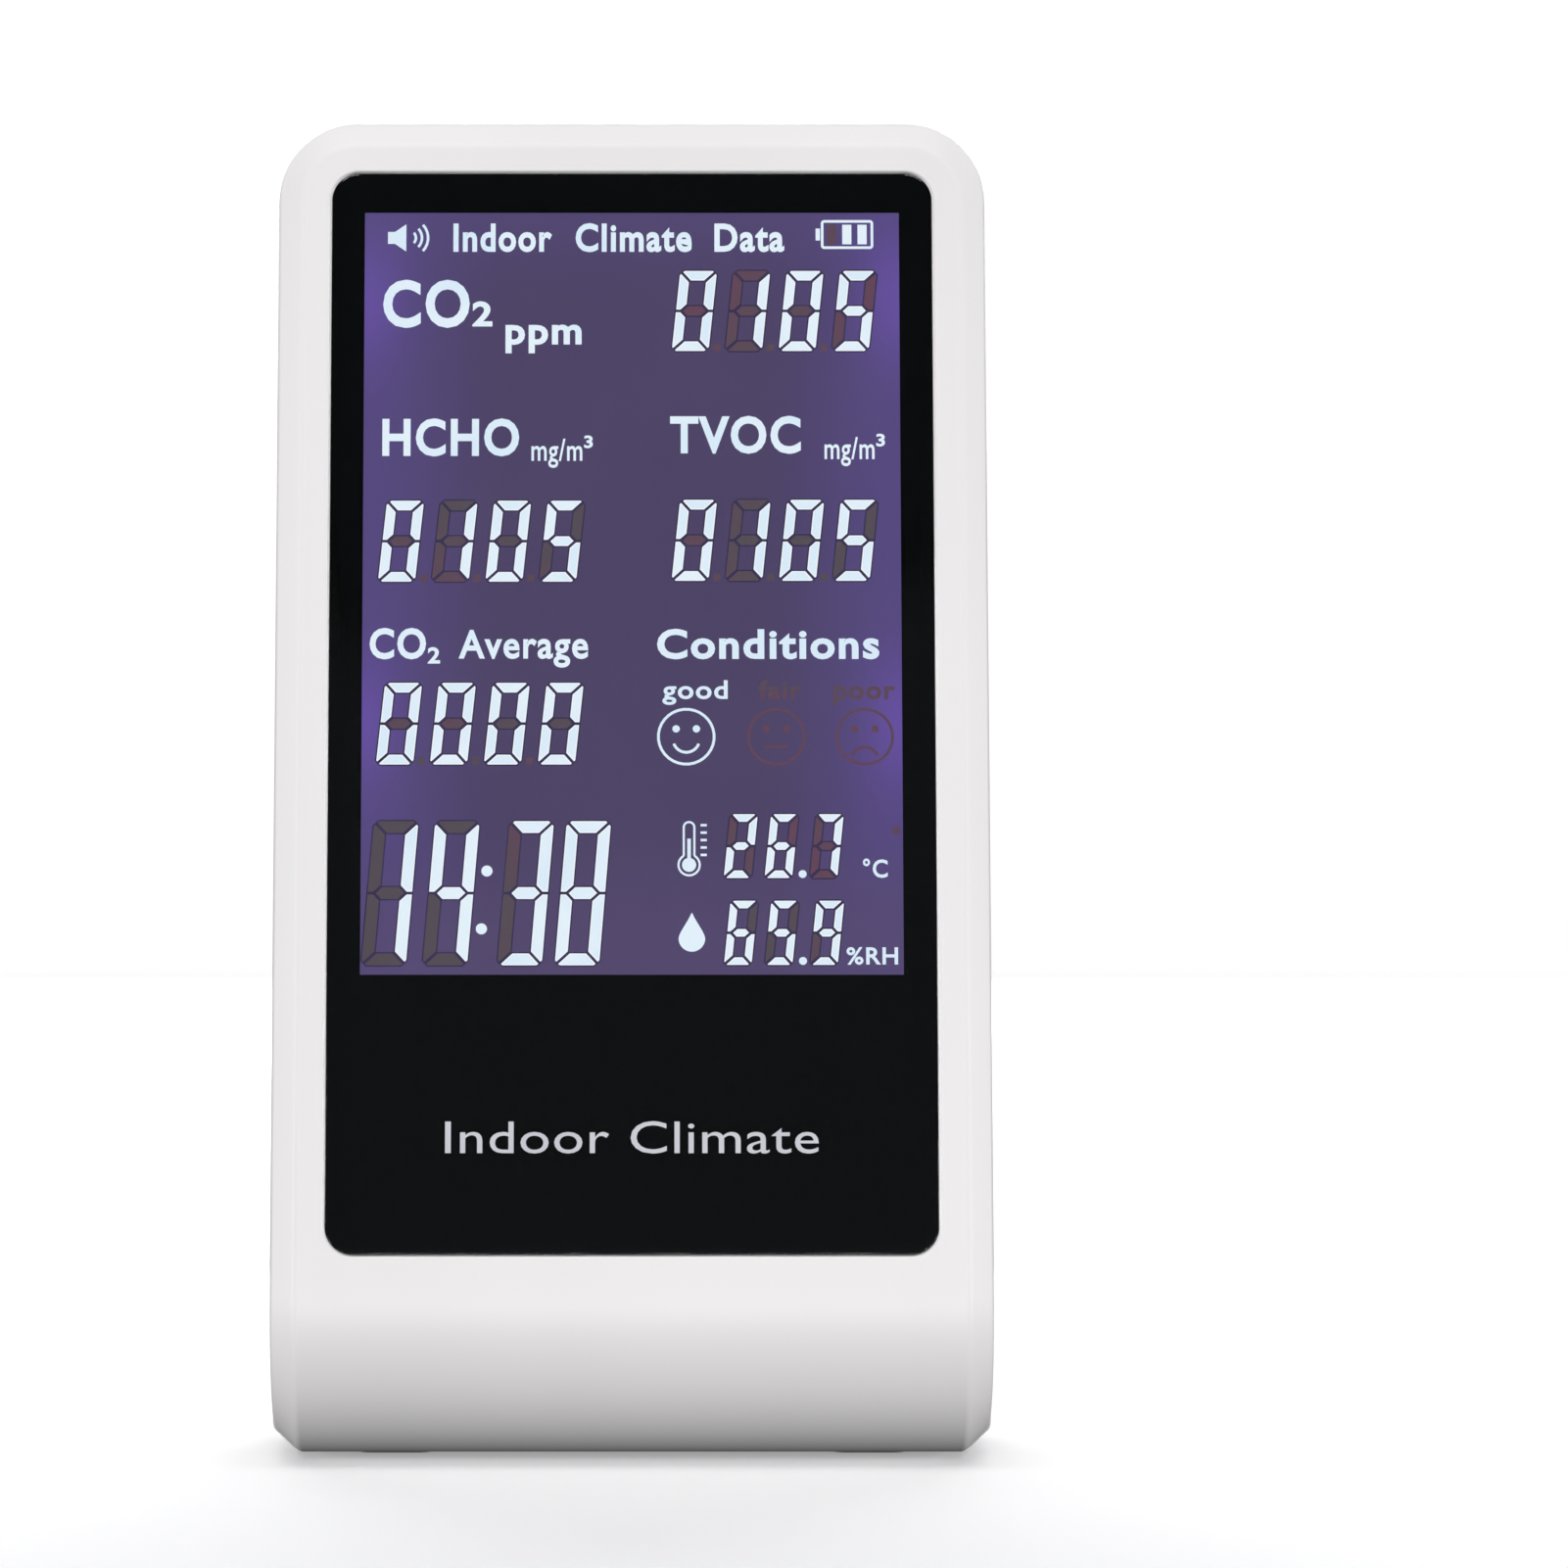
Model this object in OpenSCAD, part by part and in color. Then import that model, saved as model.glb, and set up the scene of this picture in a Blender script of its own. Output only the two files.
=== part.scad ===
// A desk air quality monitor: two moulded shells, a large segment display that leans back,
// the gas sensors behind the air slots at the back, a flat cell and three push buttons.
// Z is up and the display faces -Y. The origin lies on the resting surface, under the middle.
// Face coordinates are x, u (up along the leaning front) and v (depth behind the front).

/* [Body] */
// Overall width of the body
body_w = 81.5; // [78:0.5:100]
// Overall height, feet included
body_h = 152.4; // [148:0.4:186]
// Overall depth, from the rolled base of the front to the back
body_d = 43; // [43:0.5:60]
// Lean of the front from upright, in degrees
lean = 10; // [8:0.5:10]
// Radius of the rolled lower edge of the front
roll_r = 16; // [12:0.5:17]
// Radius of the two top corners, seen from the front
corner_r = 9.2; // [8:0.1:11]
// Radius of the rear edges
rear_edge_r = 3; // [2:0.5:4]
// Width of the sloping band round the front, seen from the front
band_w = 3; // [2:0.1:3.4]
// Depth of the sloping band round the front
band_d = 2.6; // [1:0.1:2.8]
// Thickness of the shell walls
wall = 2.4; // [2:0.1:2.6]
// How far the rear shell stands out past the front shell
rim = 0.3; // [0.1:0.05:0.5]
// Depth of the front shell behind the front face
front_shell_d = 8; // [7:0.1:9]
// Height at which the parting line turns towards the base
parting_knee_z = 22; // [20:1:30]

/* [Feet] */
// Width of each rubber foot
foot_w = 9; // [5:0.5:12]
// Length of each rubber foot, front to back
foot_l = 20; // [12:0.5:21]
// Thickness of each rubber foot
foot_t = 1; // [0.8:0.1:1.5]
// How far the feet stand out below the base
foot_proud = 0.5; // [0.3:0.1:0.7]
// Distance between the centre lines of the feet
foot_pitch = 54; // [40:1:60]

/* [Display] */
// Width of the white border beside the lens
lens_side_border = 6.3; // [5.5:0.05:8]
// Height of the white border above the lens, along the face
lens_top_border = 6.2; // [4:0.1:8]
// Height of the white border below the lens, along the face
lens_foot_border = 24; // [20:0.5:26]
// Corner radius of the lens
lens_r = 3.3; // [2:0.1:5]
// Thickness of the clear lens
lens_t = 1.25; // [1:0.05:1.6]
// How deep the lens lies below the face
lens_recess = 0.15; // [0.05:0.05:0.4]
// Gap between the lens and its pocket, all round
lens_gap = 0.15; // [0.1:0.05:0.3]
// Thickness of the black ink behind the lens
ink_t = 0.05; // [0.04:0.01:0.1]
// Thickness of the double-sided tape that holds the lens
tape_t = 0.15; // [0.1:0.05:0.3]
// Black border beside the picture area
picture_side_border = 3.9; // [3:0.05:6]
// Black border above the picture area
picture_top_border = 4.6; // [4:0.1:8]
// Black border below the picture area
picture_foot_border = 31.8; // [30:0.5:38]
// Thickness of the ledge that the lens is taped to
ledge_t = 1; // [0.8:0.1:1.4]
// Thickness of the liquid crystal panel
lcd_t = 2.2; // [1.8:0.1:2.6]
// Thickness of the light guide behind the panel
guide_t = 3; // [2.6:0.1:3.6]
// Thickness of the white reflector film
film_t = 0.2; // [0.1:0.05:0.3]
// Back wall of the display frame
frame_back_t = 1; // [0.8:0.1:1.4]
// Side wall of the display frame
frame_wall = 0.8; // [0.8:0.1:1]

/* [Electronics] */
// Thickness of the circuit boards
board_t = 1.6; // [1.2:0.1:2]
// Battery cell width
cell_w = 50; // [40:1:52]
// Battery cell height
cell_h = 32; // [26:1:34]
// Battery cell thickness
cell_t = 6.2; // [5:0.1:6.6]
// Height of the middle of the battery
cell_z = 90; // [88:1:94]
// Height of the middle of the sensor board
sensor_z = 44; // [42:1:46]
// Diameter of the formaldehyde sensor can
hcho_dia = 15; // [12:0.5:16]
// Diameter of the leads
lead_dia = 1; // [0.8:0.1:1.2]

/* [Buttons] */
// Height of the row of buttons
button_z = 126; // [124:1:128]
// Distance between neighbouring buttons
button_pitch = 14; // [12:0.5:15]
// Diameter of a button cap
button_dia = 7.4; // [6:0.1:8]
// Gap between a button cap and its hole, all round
button_gap = 0.3; // [0.2:0.05:0.5]
// Travel of a button
button_travel = 0.4; // [0.2:0.05:0.5]
// Depth of the dish round the buttons
dish_depth = 0.8; // [0.5:0.1:1]

/* [Fasteners] */
// Thread diameter of the screws
screw_dia = 2.2; // [1.8:0.1:2.4]
// Gap round a screw in a clearance hole
screw_gap = 0.25; // [0.15:0.05:0.4]
// Head diameter of the screws
head_dia = 4; // [3.4:0.1:4.2]
// Head height of the screws
head_h = 1.4; // [1:0.1:1.6]

/* [Hidden] */

// Overlap that fuses one feature into the next, and overshoot of a cut
eps = 0.2;
// Longer than any part of the monitor
far = 400;
// Flats along the quarter turn of an edge and of a top corner, and along the rolled lower edge
edge_steps = 9;
corner_steps = 18;
roll_steps = 20;

// Side view of the body: the base, the rolled lower edge and the leaning face
base_z = foot_proud;
roll_y = roll_r - body_d / 2;
roll_z = base_z + roll_r;
face_foot_y = roll_y - roll_r * cos(lean) - (roll_z + roll_r * sin(lean)) * tan(lean);
face_top_u = body_h / cos(lean);
rear_y = body_d / 2;
rear_in_y = rear_y - wall;

// Layers behind the face, front to back
pocket_d = lens_recess + lens_t + ink_t + tape_t;
face_wall = pocket_d + ledge_t;
ink_v = lens_recess + lens_t;
tape_v = ink_v + ink_t;
lcd_v = face_wall;
guide_v = lcd_v + lcd_t;
film_v = guide_v + guide_t;
frame_back_v = film_v + film_t;
board_v = frame_back_v + frame_back_t;
board_rear_v = board_v + board_t;
base_in_z = base_z + face_wall;

// Lens, picture area and panel on the face
lens_w = body_w - 2 * lens_side_border;
lens_u = lens_foot_border;
lens_h = face_top_u - lens_foot_border - lens_top_border;
picture_w = lens_w - 2 * picture_side_border;
picture_u = lens_u + picture_foot_border;
picture_h = lens_h - picture_foot_border - picture_top_border;
opening_margin = 0.5;
panel_side_margin = 0.8;
panel_foot_margin = 3.5;
panel_w = picture_w + 2 * panel_side_margin;
panel_u = picture_u - panel_foot_margin;
panel_h = picture_h + panel_foot_margin + panel_side_margin;
frame_w = panel_w + 2 * frame_wall;
frame_u = panel_u - frame_wall;
frame_h = panel_h + 2 * frame_wall;
guide_w = picture_w - 0.4;
guide_u = picture_u + 0.3;
guide_h = panel_u + panel_h - guide_u - 0.2;
led_l = 4;
led_places = [0.28, 0.84];
connector_w = picture_w - 4;
connector_l = 1.8;
connector_u = panel_u + 0.6;

// Main board and the posts that carry it
board_w = frame_w - 0.4;
board_u = frame_u - 5.5;
board_h = frame_h + 5;
post_r = 2.3;
boss_r = 2.4;
strip_x = frame_w / 2 + 0.4 + boss_r;
low_post = [board_w / 2 - 4, board_u + post_r + 0.2];
high_post = [strip_x, board_u + board_h - 11];
screw_r = screw_dia / 2;
pilot_depth = 5;
battery_socket_u = board_u + 68;
battery_socket_t = 4.4;
button_lead_u = board_u + 76;

// Case screws: the front boss and the rear tube meet end to end
tube_r = 3.2;
shoulder_t = 4;
case_shank_l = 10;
top_screw_z = 112;
low_screw_z = 13;
case_points = [
  for (s = [-1, 1]) [s * strip_x, top_screw_z, 9],
  for (s = [-1, 1]) [s * (body_w / 2 - 9.5), low_screw_z, -2]
];

// Rear stack: sensor board, battery and button board behind the main board
sensor_board_w = 52;
sensor_board_h = 38;
sensor_board_y = 6;
sensor_post = [sensor_board_w / 2 - 3, sensor_board_h / 2 - 3];
sensor_rear_y = sensor_board_y + board_t;
mesh_t = 0.4;
mesh_w = 2 * (sensor_post[0] - post_r) - 1.4;
mesh_h = sensor_board_h - 4;
slot_count = 8;
slot_h = 2;
slot_pitch = 4;
slot_w = mesh_w - 4;
cell_tape_t = 0.4;
cell_y = rear_in_y - cell_tape_t - cell_t;

// Buttons: cap, plunger, switch and board, from the back inwards
cap_out_y = rear_y - 0.2;
flange_y = rear_in_y - 0.2;
flange_t = 0.8;
flange_r = button_dia / 2 + button_gap + 0.8;
plunger_y = flange_y - flange_t - 1.3;
plunger_r = 1.7;
plunger_l = 2.2;
switch_y = plunger_y - 0.8;
switch_t = 3.4;
switch_side = 6;
button_board_y = switch_y - switch_t - board_t;
button_board_w = 2 * button_pitch + 22;
button_board_h = 14;
button_post_x = button_board_w / 2 - 3;

// Power board: it lies flat behind the charging port
power_board_w = 24;
power_board_z = base_in_z + 6.4;
power_board_y = 3;
power_board_l = rear_in_y - 0.4 - power_board_y;
power_post = [power_board_w / 2 - 3.2, power_board_y + 3.2];
usb_w = 8.94;
usb_h = 3.26;
usb_l = 7.35;
usb_wall = 0.3;
usb_gap = 0.25;
usb_rear_y = rear_y - 0.6;
usb_z = power_board_z + board_t + usb_h / 2;

shell_color = [0.93, 0.93, 0.93];
board_color = [0.1, 0.35, 0.18];
steel_color = [0.72, 0.73, 0.75];
black_color = [0.07, 0.07, 0.08];
wire_red = [0.75, 0.1, 0.1];
wire_black = [0.1, 0.1, 0.1];

// Points along an arc, from angle a0 to angle a1 in n steps
function arc(c, r, a0, a1, n) =
  [for (i = [0 : n]) c + r * [cos(a0 + (a1 - a0) * i / n), sin(a0 + (a1 - a0) * i / n)]];

// Distance of the leaning face from the middle at a height
function face_y(z) = face_foot_y + z * tan(lean);

// A place on the face, in body coordinates
function face_point(x, u, v) =
  [x, face_foot_y + u * sin(lean) + v * cos(lean), u * cos(lean) - v * sin(lean)];

// Side view: t inwards from the top and the back, f inwards from the face, the roll and the base
function side_points(t, f) = let (r = max(rear_edge_r - t, 0.5)) concat(
  [[rear_y - t, base_z + f]],
  arc([rear_y - t - r, body_h - t - r], r, 0, 90, edge_steps),
  [[face_y(body_h - t) + f / cos(lean), body_h - t]],
  arc([roll_y, roll_z], roll_r - f, 180 - lean, 270, roll_steps)
);

// Front view: t inwards all round, with f for the base
function outline_points(t, f) =
  let (x = body_w / 2 - t, cx = body_w / 2 - corner_r, cz = body_h - corner_r)
  let (cut_z = base_z + band_d + (sqrt(2) - 1) * t, cut_x = body_w / 2 - band_d - sqrt(2) * t + f)
  concat(
    [[cut_x, base_z + f], [x, max(cut_z, base_z + f)]],
    arc([cx, cz], corner_r - t, 0, 90, corner_steps),
    arc([-cx, cz], corner_r - t, 90, 180, corner_steps),
    [[-x, max(cut_z, base_z + f)], [-cut_x, base_z + f]]
  );

// Plan view, with the two rear corners rounded
function plan_points(t) =
  let (x = body_w / 2 - t, r = max(rear_edge_r - t, 0.5))
  let (cx = x - r, cy = rear_y - t - r)
  concat(
    [[-x, -body_d], [x, -body_d]],
    arc([cx, cy], r, 0, 90, edge_steps),
    arc([-cx, cy], r, 90, 180, edge_steps)
  );

// Rectangle with rounded corners, centred in x and standing on y = 0
module rounded_plate(w, h, r) {
  x = w / 2 - r;
  polygon(concat(
    arc([x, r], r, -90, 0, edge_steps),
    arc([x, h - r], r, 0, 90, edge_steps),
    arc([-x, h - r], r, 90, 180, edge_steps),
    arc([-x, r], r, 180, 270, edge_steps)
  ));
}

module along_x(w) {
  rotate([90, 0, 90]) linear_extrude(w, center = true) children();
}

// Extrudes a front view towards the back, from y0 to y1
module along_y(y0, y1) {
  translate([0, y1, 0]) rotate([90, 0, 0]) linear_extrude(y1 - y0) children();
}

// Moves children to face coordinates: x, v behind the face, u up the face
module on_face() {
  translate([0, face_foot_y, 0]) rotate([-lean, 0, 0]) children();
}

// A box in face coordinates, centred in x
module face_box(w, u, h, v, t) {
  on_face() translate([-w / 2, v, u]) cube([w, t, h]);
}

// A rod that stands square on the face, from depth v0 to v1
module face_rod(x, u, v0, v1, r) {
  on_face() translate([x, v0, u]) rotate([-90, 0, 0]) cylinder(h = v1 - v0, r = r, $fn = 32);
}

// A rod along Y, from y0 to y1
module rod_y(x, z, y0, y1, r) {
  translate([x, y0, z]) rotate([-90, 0, 0]) cylinder(h = y1 - y0, r = r, $fn = 32);
}

// Outer or inner form of the whole body
module envelope(t, f) {
  intersection() {
    along_x(body_w) polygon(side_points(t, f));
    along_y(-body_d, body_d) polygon(outline_points(t, f));
    linear_extrude(2 * body_h, center = true) polygon(plan_points(t));
  }
}

module cavity() {
  envelope(wall, face_wall);
}

// Everything in front of the parting line
module front_zone() {
  top_z = body_h + 10;
  knee_y = face_y(parting_knee_z) + front_shell_d / cos(lean);
  along_x(far) polygon([
    [face_y(top_z) + front_shell_d / cos(lean), top_z],
    [-far, top_z],
    [-far, -10],
    [roll_y + 1, -10],
    [roll_y + 1, 0],
    [knee_y, parting_knee_z]
  ]);
}

// Outer form of the front, with the sloping band round its edge
module front_form() {
  w = body_w - 2 * rim;
  intersection() {
    hull() {
      along_x(w - 2 * band_w) polygon(side_points(rim + band_d, 0));
      along_x(w) polygon(side_points(rim, band_d));
    }
    along_y(-body_d, body_d) polygon(outline_points(rim, 0));
  }
}

module front_bosses() {
  for (p = case_points) rod_y(p[0], p[1], face_y(p[1]) + 1, p[2], boss_r);
}

module front_posts() {
  for (s = [-1, 1], p = [low_post, high_post])
    face_rod(s * p[0], p[1], face_wall - eps, board_v, post_r);
}

module front_shell() {
  color(shell_color) difference() {
    union() {
      difference() {
        intersection() {
          front_form();
          front_zone();
        }
        cavity();
      }
      intersection() {
        union() {
          front_bosses();
          front_posts();
        }
        front_form();
      }
    }
    on_face() translate([0, pocket_d, lens_u]) rotate([90, 0, 0])
      linear_extrude(pocket_d + 1) rounded_plate(lens_w, lens_h, lens_r);
    face_box(picture_w + 2 * opening_margin, picture_u - opening_margin,
      picture_h + 2 * opening_margin, 0, face_wall + eps);
    for (p = case_points) rod_y(p[0], p[1], p[2] - case_shank_l + shoulder_t - 0.5, p[2] + eps, screw_r);
    for (s = [-1, 1], p = [low_post, high_post])
      face_rod(s * p[0], p[1], board_v - pilot_depth, board_v + eps, screw_r);
  }
}

module rear_posts() {
  for (s = [-1, 1]) {
    for (t = [-1, 1])
      rod_y(s * sensor_post[0], sensor_z + t * sensor_post[1], sensor_rear_y, rear_in_y + eps, post_r);
    rod_y(s * button_post_x, button_z, button_board_y + board_t, rear_in_y + eps, post_r);
    translate([s * power_post[0], power_post[1], base_in_z - eps])
      cylinder(h = power_board_z - base_in_z + eps, r = post_r, $fn = 32);
  }
  for (p = case_points) rod_y(p[0], p[1], p[2], rear_in_y + eps, tube_r);
}

module rear_cuts() {
  for (p = case_points) {
    rod_y(p[0], p[1], p[2] - eps, rear_y, screw_r + screw_gap);
    rod_y(p[0], p[1], p[2] + shoulder_t, rear_y + eps, head_dia / 2 + screw_gap);
  }
  for (s = [-1, 1]) {
    for (t = [-1, 1])
      rod_y(s * sensor_post[0], sensor_z + t * sensor_post[1],
        sensor_rear_y - eps, sensor_rear_y + pilot_depth, screw_r);
    rod_y(s * button_post_x, button_z, 0, button_board_y + board_t + pilot_depth - 0.5, screw_r);
    translate([s * power_post[0], power_post[1], power_board_z - pilot_depth])
      cylinder(h = pilot_depth + eps, r = screw_r, $fn = 32);
    translate([s * foot_pitch / 2, 0, 0]) foot_block(base_z + foot_t - foot_proud);
  }
  for (i = [0 : slot_count - 1])
    translate([-slot_w / 2, rear_in_y - eps, sensor_z + (i - (slot_count - 1) / 2) * slot_pitch - slot_h / 2])
      cube([slot_w, wall + 2 * eps, slot_h]);
  for (i = [-1 : 1])
    rod_y(i * button_pitch, button_z, rear_in_y - eps, rear_y, button_dia / 2 + button_gap);
  along_y(rear_y - dish_depth, rear_y + eps) translate([0, button_z - button_dia / 2 - 2])
    rounded_plate(2 * button_pitch + button_dia + 4, button_dia + 4, button_dia / 2 + 1.9);
  translate([0, 0, usb_z]) along_y(rear_in_y - eps, rear_y + eps)
    stadium(usb_w + 2 * usb_gap, usb_h + 2 * usb_gap);
}

module rear_shell() {
  color(shell_color) difference() {
    union() {
      difference() {
        envelope(0, 0);
        front_zone();
        cavity();
      }
      intersection() {
        rear_posts();
        envelope(wall / 2, face_wall / 2);
      }
    }
    rear_cuts();
  }
}

// One foot, from the resting surface up to a height
module foot_block(top) {
  translate([0, roll_y + 2, 0]) linear_extrude(top) rounded_plate(foot_w, foot_l, 2);
}

module rubber_feet() {
  color([0.2, 0.2, 0.21])
    for (s = [-1, 1]) translate([s * foot_pitch / 2, 0, 0]) foot_block(foot_t);
}

// The lens outline as a sheet at depth v
module lens_sheet(v, t) {
  on_face() translate([0, v + t, lens_u + lens_gap]) rotate([90, 0, 0])
    linear_extrude(t) rounded_plate(lens_w - 2 * lens_gap, lens_h - 2 * lens_gap, lens_r - lens_gap);
}

module display_lens() {
  color([0.8, 0.85, 0.9, 0.5]) lens_sheet(lens_recess, lens_t);
}

module lens_mask() {
  color(black_color) difference() {
    lens_sheet(ink_v, ink_t);
    face_box(picture_w, picture_u, picture_h, ink_v - eps, ink_t + 2 * eps);
  }
}

module lens_tape() {
  color([0.25, 0.25, 0.25]) difference() {
    lens_sheet(tape_v, tape_t);
    face_box(picture_w + 2 * opening_margin, picture_u - opening_margin,
      picture_h + 2 * opening_margin, tape_v - eps, tape_t + 2 * eps);
  }
}

module lcd_panel() {
  color([0.3, 0.28, 0.42]) face_box(panel_w, panel_u, panel_h, lcd_v, lcd_t);
}

module lcd_frame() {
  color([0.9, 0.9, 0.88]) difference() {
    face_box(frame_w, frame_u, frame_h, lcd_v, board_v - lcd_v);
    face_box(panel_w, panel_u, panel_h, lcd_v - eps, frame_back_v - lcd_v + eps);
    face_box(connector_w + 0.4, connector_u - 0.2, connector_l + 0.4, lcd_v, board_v);
  }
}

module light_guide() {
  color([0.85, 0.9, 0.95]) face_box(guide_w, guide_u, guide_h, guide_v, guide_t);
}

module reflector_film() {
  color([0.95, 0.95, 0.95]) face_box(guide_w, guide_u, guide_h, film_v, film_t);
}

module backlight_leds() {
  x0 = guide_w / 2;
  t = panel_w / 2 - x0;
  color([0.95, 0.9, 0.6])
    for (s = [-1, 1], k = led_places)
      on_face() translate([s * (x0 + t / 2) - t / 2, guide_v + 0.2, picture_u + k * picture_h - led_l / 2])
        cube([t, guide_t - 0.4, led_l]);
}

module lcd_connector() {
  color([0.2, 0.2, 0.22])
    face_box(connector_w, connector_u, connector_l, lcd_v + lcd_t, board_v - lcd_v - lcd_t);
}

module main_board() {
  ear = 2 * (high_post[0] + 2);
  color(board_color) difference() {
    union() {
      face_box(board_w, board_u, board_h, board_v, board_t);
      face_box(ear, high_post[1] - 2.5, 5, board_v, board_t);
    }
    for (s = [-1, 1], p = [low_post, high_post])
      face_rod(s * p[0], p[1], board_v - eps, board_rear_v + eps, screw_r + screw_gap);
  }
}

// A part that sits on the back of the main board
module on_board(x, u, w, h, t) {
  on_face() translate([x - w / 2, board_rear_v, u - h / 2]) cube([w, t, h]);
}

module board_chips() {
  color([0.15, 0.15, 0.16]) {
    on_board(-14, board_u + 70, 12, 12, 1.4);
    on_board(12, board_u + 66, 10, 10, 1.2);
    on_board(-16, board_u + 50, 6, 8, 1.2);
    on_board(4, board_u + 52, 5, 5, 1);
    on_board(22, board_u + 48, 3.5, 11, 1.2);
    for (i = [0 : 4]) on_board(-24 + 3 * i, board_u + 36, 1.6, 3.2, 1.1);
    for (i = [0 : 3]) on_board(8 + 3 * i, board_u + 38, 1.6, 3.2, 1.1);
  }
}

module buzzer() {
  u = board_u + 16;
  color(black_color) difference() {
    face_rod(-21, u, board_rear_v, board_rear_v + 5.4, 6);
    face_rod(-21, u, board_rear_v + 4.4, board_rear_v + 6, 1);
  }
}

module battery_socket() {
  color([0.95, 0.95, 0.92]) on_board(0, battery_socket_u, 8, 5, battery_socket_t);
}

module battery_pack() {
  tab_h = 2.6;
  color([0.55, 0.57, 0.6]) {
    along_y(cell_y, cell_y + cell_t) translate([0, cell_z - cell_h / 2]) rounded_plate(cell_w, cell_h, 1.5);
    translate([-cell_w / 2 + 4, cell_y + cell_t / 2 - 1, cell_z + cell_h / 2 - eps])
      cube([cell_w - 8, 2, tab_h + eps]);
  }
}

module battery_tape() {
  color([0.9, 0.85, 0.6])
    translate([-cell_w / 2 + 5, rear_in_y - cell_tape_t, cell_z - cell_h / 2 + 4])
      cube([cell_w - 10, cell_tape_t, cell_h - 8]);
}

// A round lead in a plane of constant x, through points given as [y, z]
module lead(x, route) {
  n = len(route);
  sides = 8;
  rings = [
    for (i = [0 : n - 1])
      let (d = route[min(i + 1, n - 1)] - route[max(i - 1, 0)])
      let (side = [-d[1], d[0]] / norm(d))
      for (k = [0 : sides - 1])
        let (a = 360 * k / sides, c = lead_dia / 2 * cos(a), s = lead_dia / 2 * sin(a))
        [x + c, route[i][0] + s * side[0], route[i][1] + s * side[1]]
  ];
  walls = [
    for (i = [0 : n - 2], k = [0 : sides - 1])
      let (a = i * sides + k, b = i * sides + (k + 1) % sides)
      [a, b, b + sides, a + sides]
  ];
  front = [for (k = [0 : sides - 1]) sides - 1 - k];
  back = [for (k = [0 : sides - 1]) (n - 1) * sides + k];
  polyhedron(points = rings, faces = concat([front], walls, [back]), convexity = 4);
}

// A smooth run between two places, each with a point that sets the direction it leaves in
function run(a, a_out, b_out, b, n) = concat(
  [a],
  [for (i = [0 : n])
    let (t = i / n)
    pow(1 - t, 2) * (1 - t) * a_out + 3 * pow(1 - t, 2) * t * (2 * a_out - a)
      + 3 * (1 - t) * t * t * (2 * b_out - b) + pow(t, 3) * b_out],
  [b]
);

// A place on the back of the main board, as [y, z], at a distance behind it
function board_yz(u, off) =
  let (p = face_point(0, u, board_rear_v + off)) [p[1], p[2]];

module battery_leads() {
  z_top = cell_z + cell_h / 2 + 2.6;
  y_tab = cell_y + cell_t / 2;
  plug = board_yz(battery_socket_u, battery_socket_t);
  plug_out = board_yz(battery_socket_u, battery_socket_t + 1.6);
  route = run([y_tab, z_top], [y_tab, z_top + 1.2], plug_out, plug, 8);
  color(wire_red) lead(1.5, route);
  color(wire_black) lead(-1.5, route);
}

module power_board() {
  color(board_color) difference() {
    translate([-power_board_w / 2, power_board_y, power_board_z])
      cube([power_board_w, power_board_l, board_t]);
    for (s = [-1, 1]) translate([s * power_post[0], power_post[1], power_board_z - eps])
      cylinder(h = board_t + 2 * eps, r = screw_r + screw_gap, $fn = 32);
  }
}

// A slot outline with round ends, centred on the origin
module stadium(w, h) {
  translate([0, -h / 2]) rounded_plate(w, h, h / 2 - 0.01);
}

module usb_socket() {
  tongue_w = 6.7;
  tongue_t = 0.7;
  back_t = 1.6;
  color(steel_color) translate([0, 0, usb_z]) {
    difference() {
      along_y(usb_rear_y - usb_l, usb_rear_y) stadium(usb_w, usb_h);
      along_y(usb_rear_y - usb_l + back_t, usb_rear_y + eps)
        stadium(usb_w - 2 * usb_wall, usb_h - 2 * usb_wall);
    }
    translate([-tongue_w / 2, usb_rear_y - usb_l + back_t - eps, -tongue_t / 2])
      cube([tongue_w, usb_l - back_t - 1, tongue_t]);
  }
}

module power_board_chips() {
  z = power_board_z + board_t;
  color([0.15, 0.15, 0.16]) {
    translate([-3, power_board_y + 4, z]) cube([5, 4, 1.2]);
    translate([3.4, power_board_y + 4.5, z]) cube([1.6, 3, 0.9]);
    translate([-6.4, power_board_y + 7, z]) cube([1.6, 3, 0.9]);
  }
}

module power_leads() {
  y0 = power_board_y + 1.4;
  z0 = power_board_z + board_t;
  u = board_u + 2.2;
  route = run([y0, z0], [y0, z0 + 1.5], board_yz(u, 1.8), board_yz(u, 0), 10);
  color(wire_red) lead(1.5, route);
  color(wire_black) lead(-1.5, route);
}

module sensor_board() {
  color(board_color) difference() {
    translate([-sensor_board_w / 2, sensor_board_y, sensor_z - sensor_board_h / 2])
      cube([sensor_board_w, board_t, sensor_board_h]);
    for (s = [-1, 1], t = [-1, 1])
      rod_y(s * sensor_post[0], sensor_z + t * sensor_post[1],
        sensor_board_y - eps, sensor_rear_y + eps, screw_r + screw_gap);
  }
}

module hcho_sensor() {
  z = sensor_z + 6;
  r = hcho_dia / 2;
  color(steel_color) difference() {
    union() {
      rod_y(-9.5, z, sensor_rear_y, sensor_rear_y + 7, r);
      rod_y(-9.5, z, sensor_rear_y, sensor_rear_y + 1, r + 0.5);
    }
    for (a = [0 : 60 : 300])
      rod_y(-9.5 + 3 * cos(a), z + 3 * sin(a), sensor_rear_y + 6, sensor_rear_y + 8, 0.7);
    rod_y(-9.5, z, sensor_rear_y + 6, sensor_rear_y + 8, 0.7);
  }
}

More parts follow.
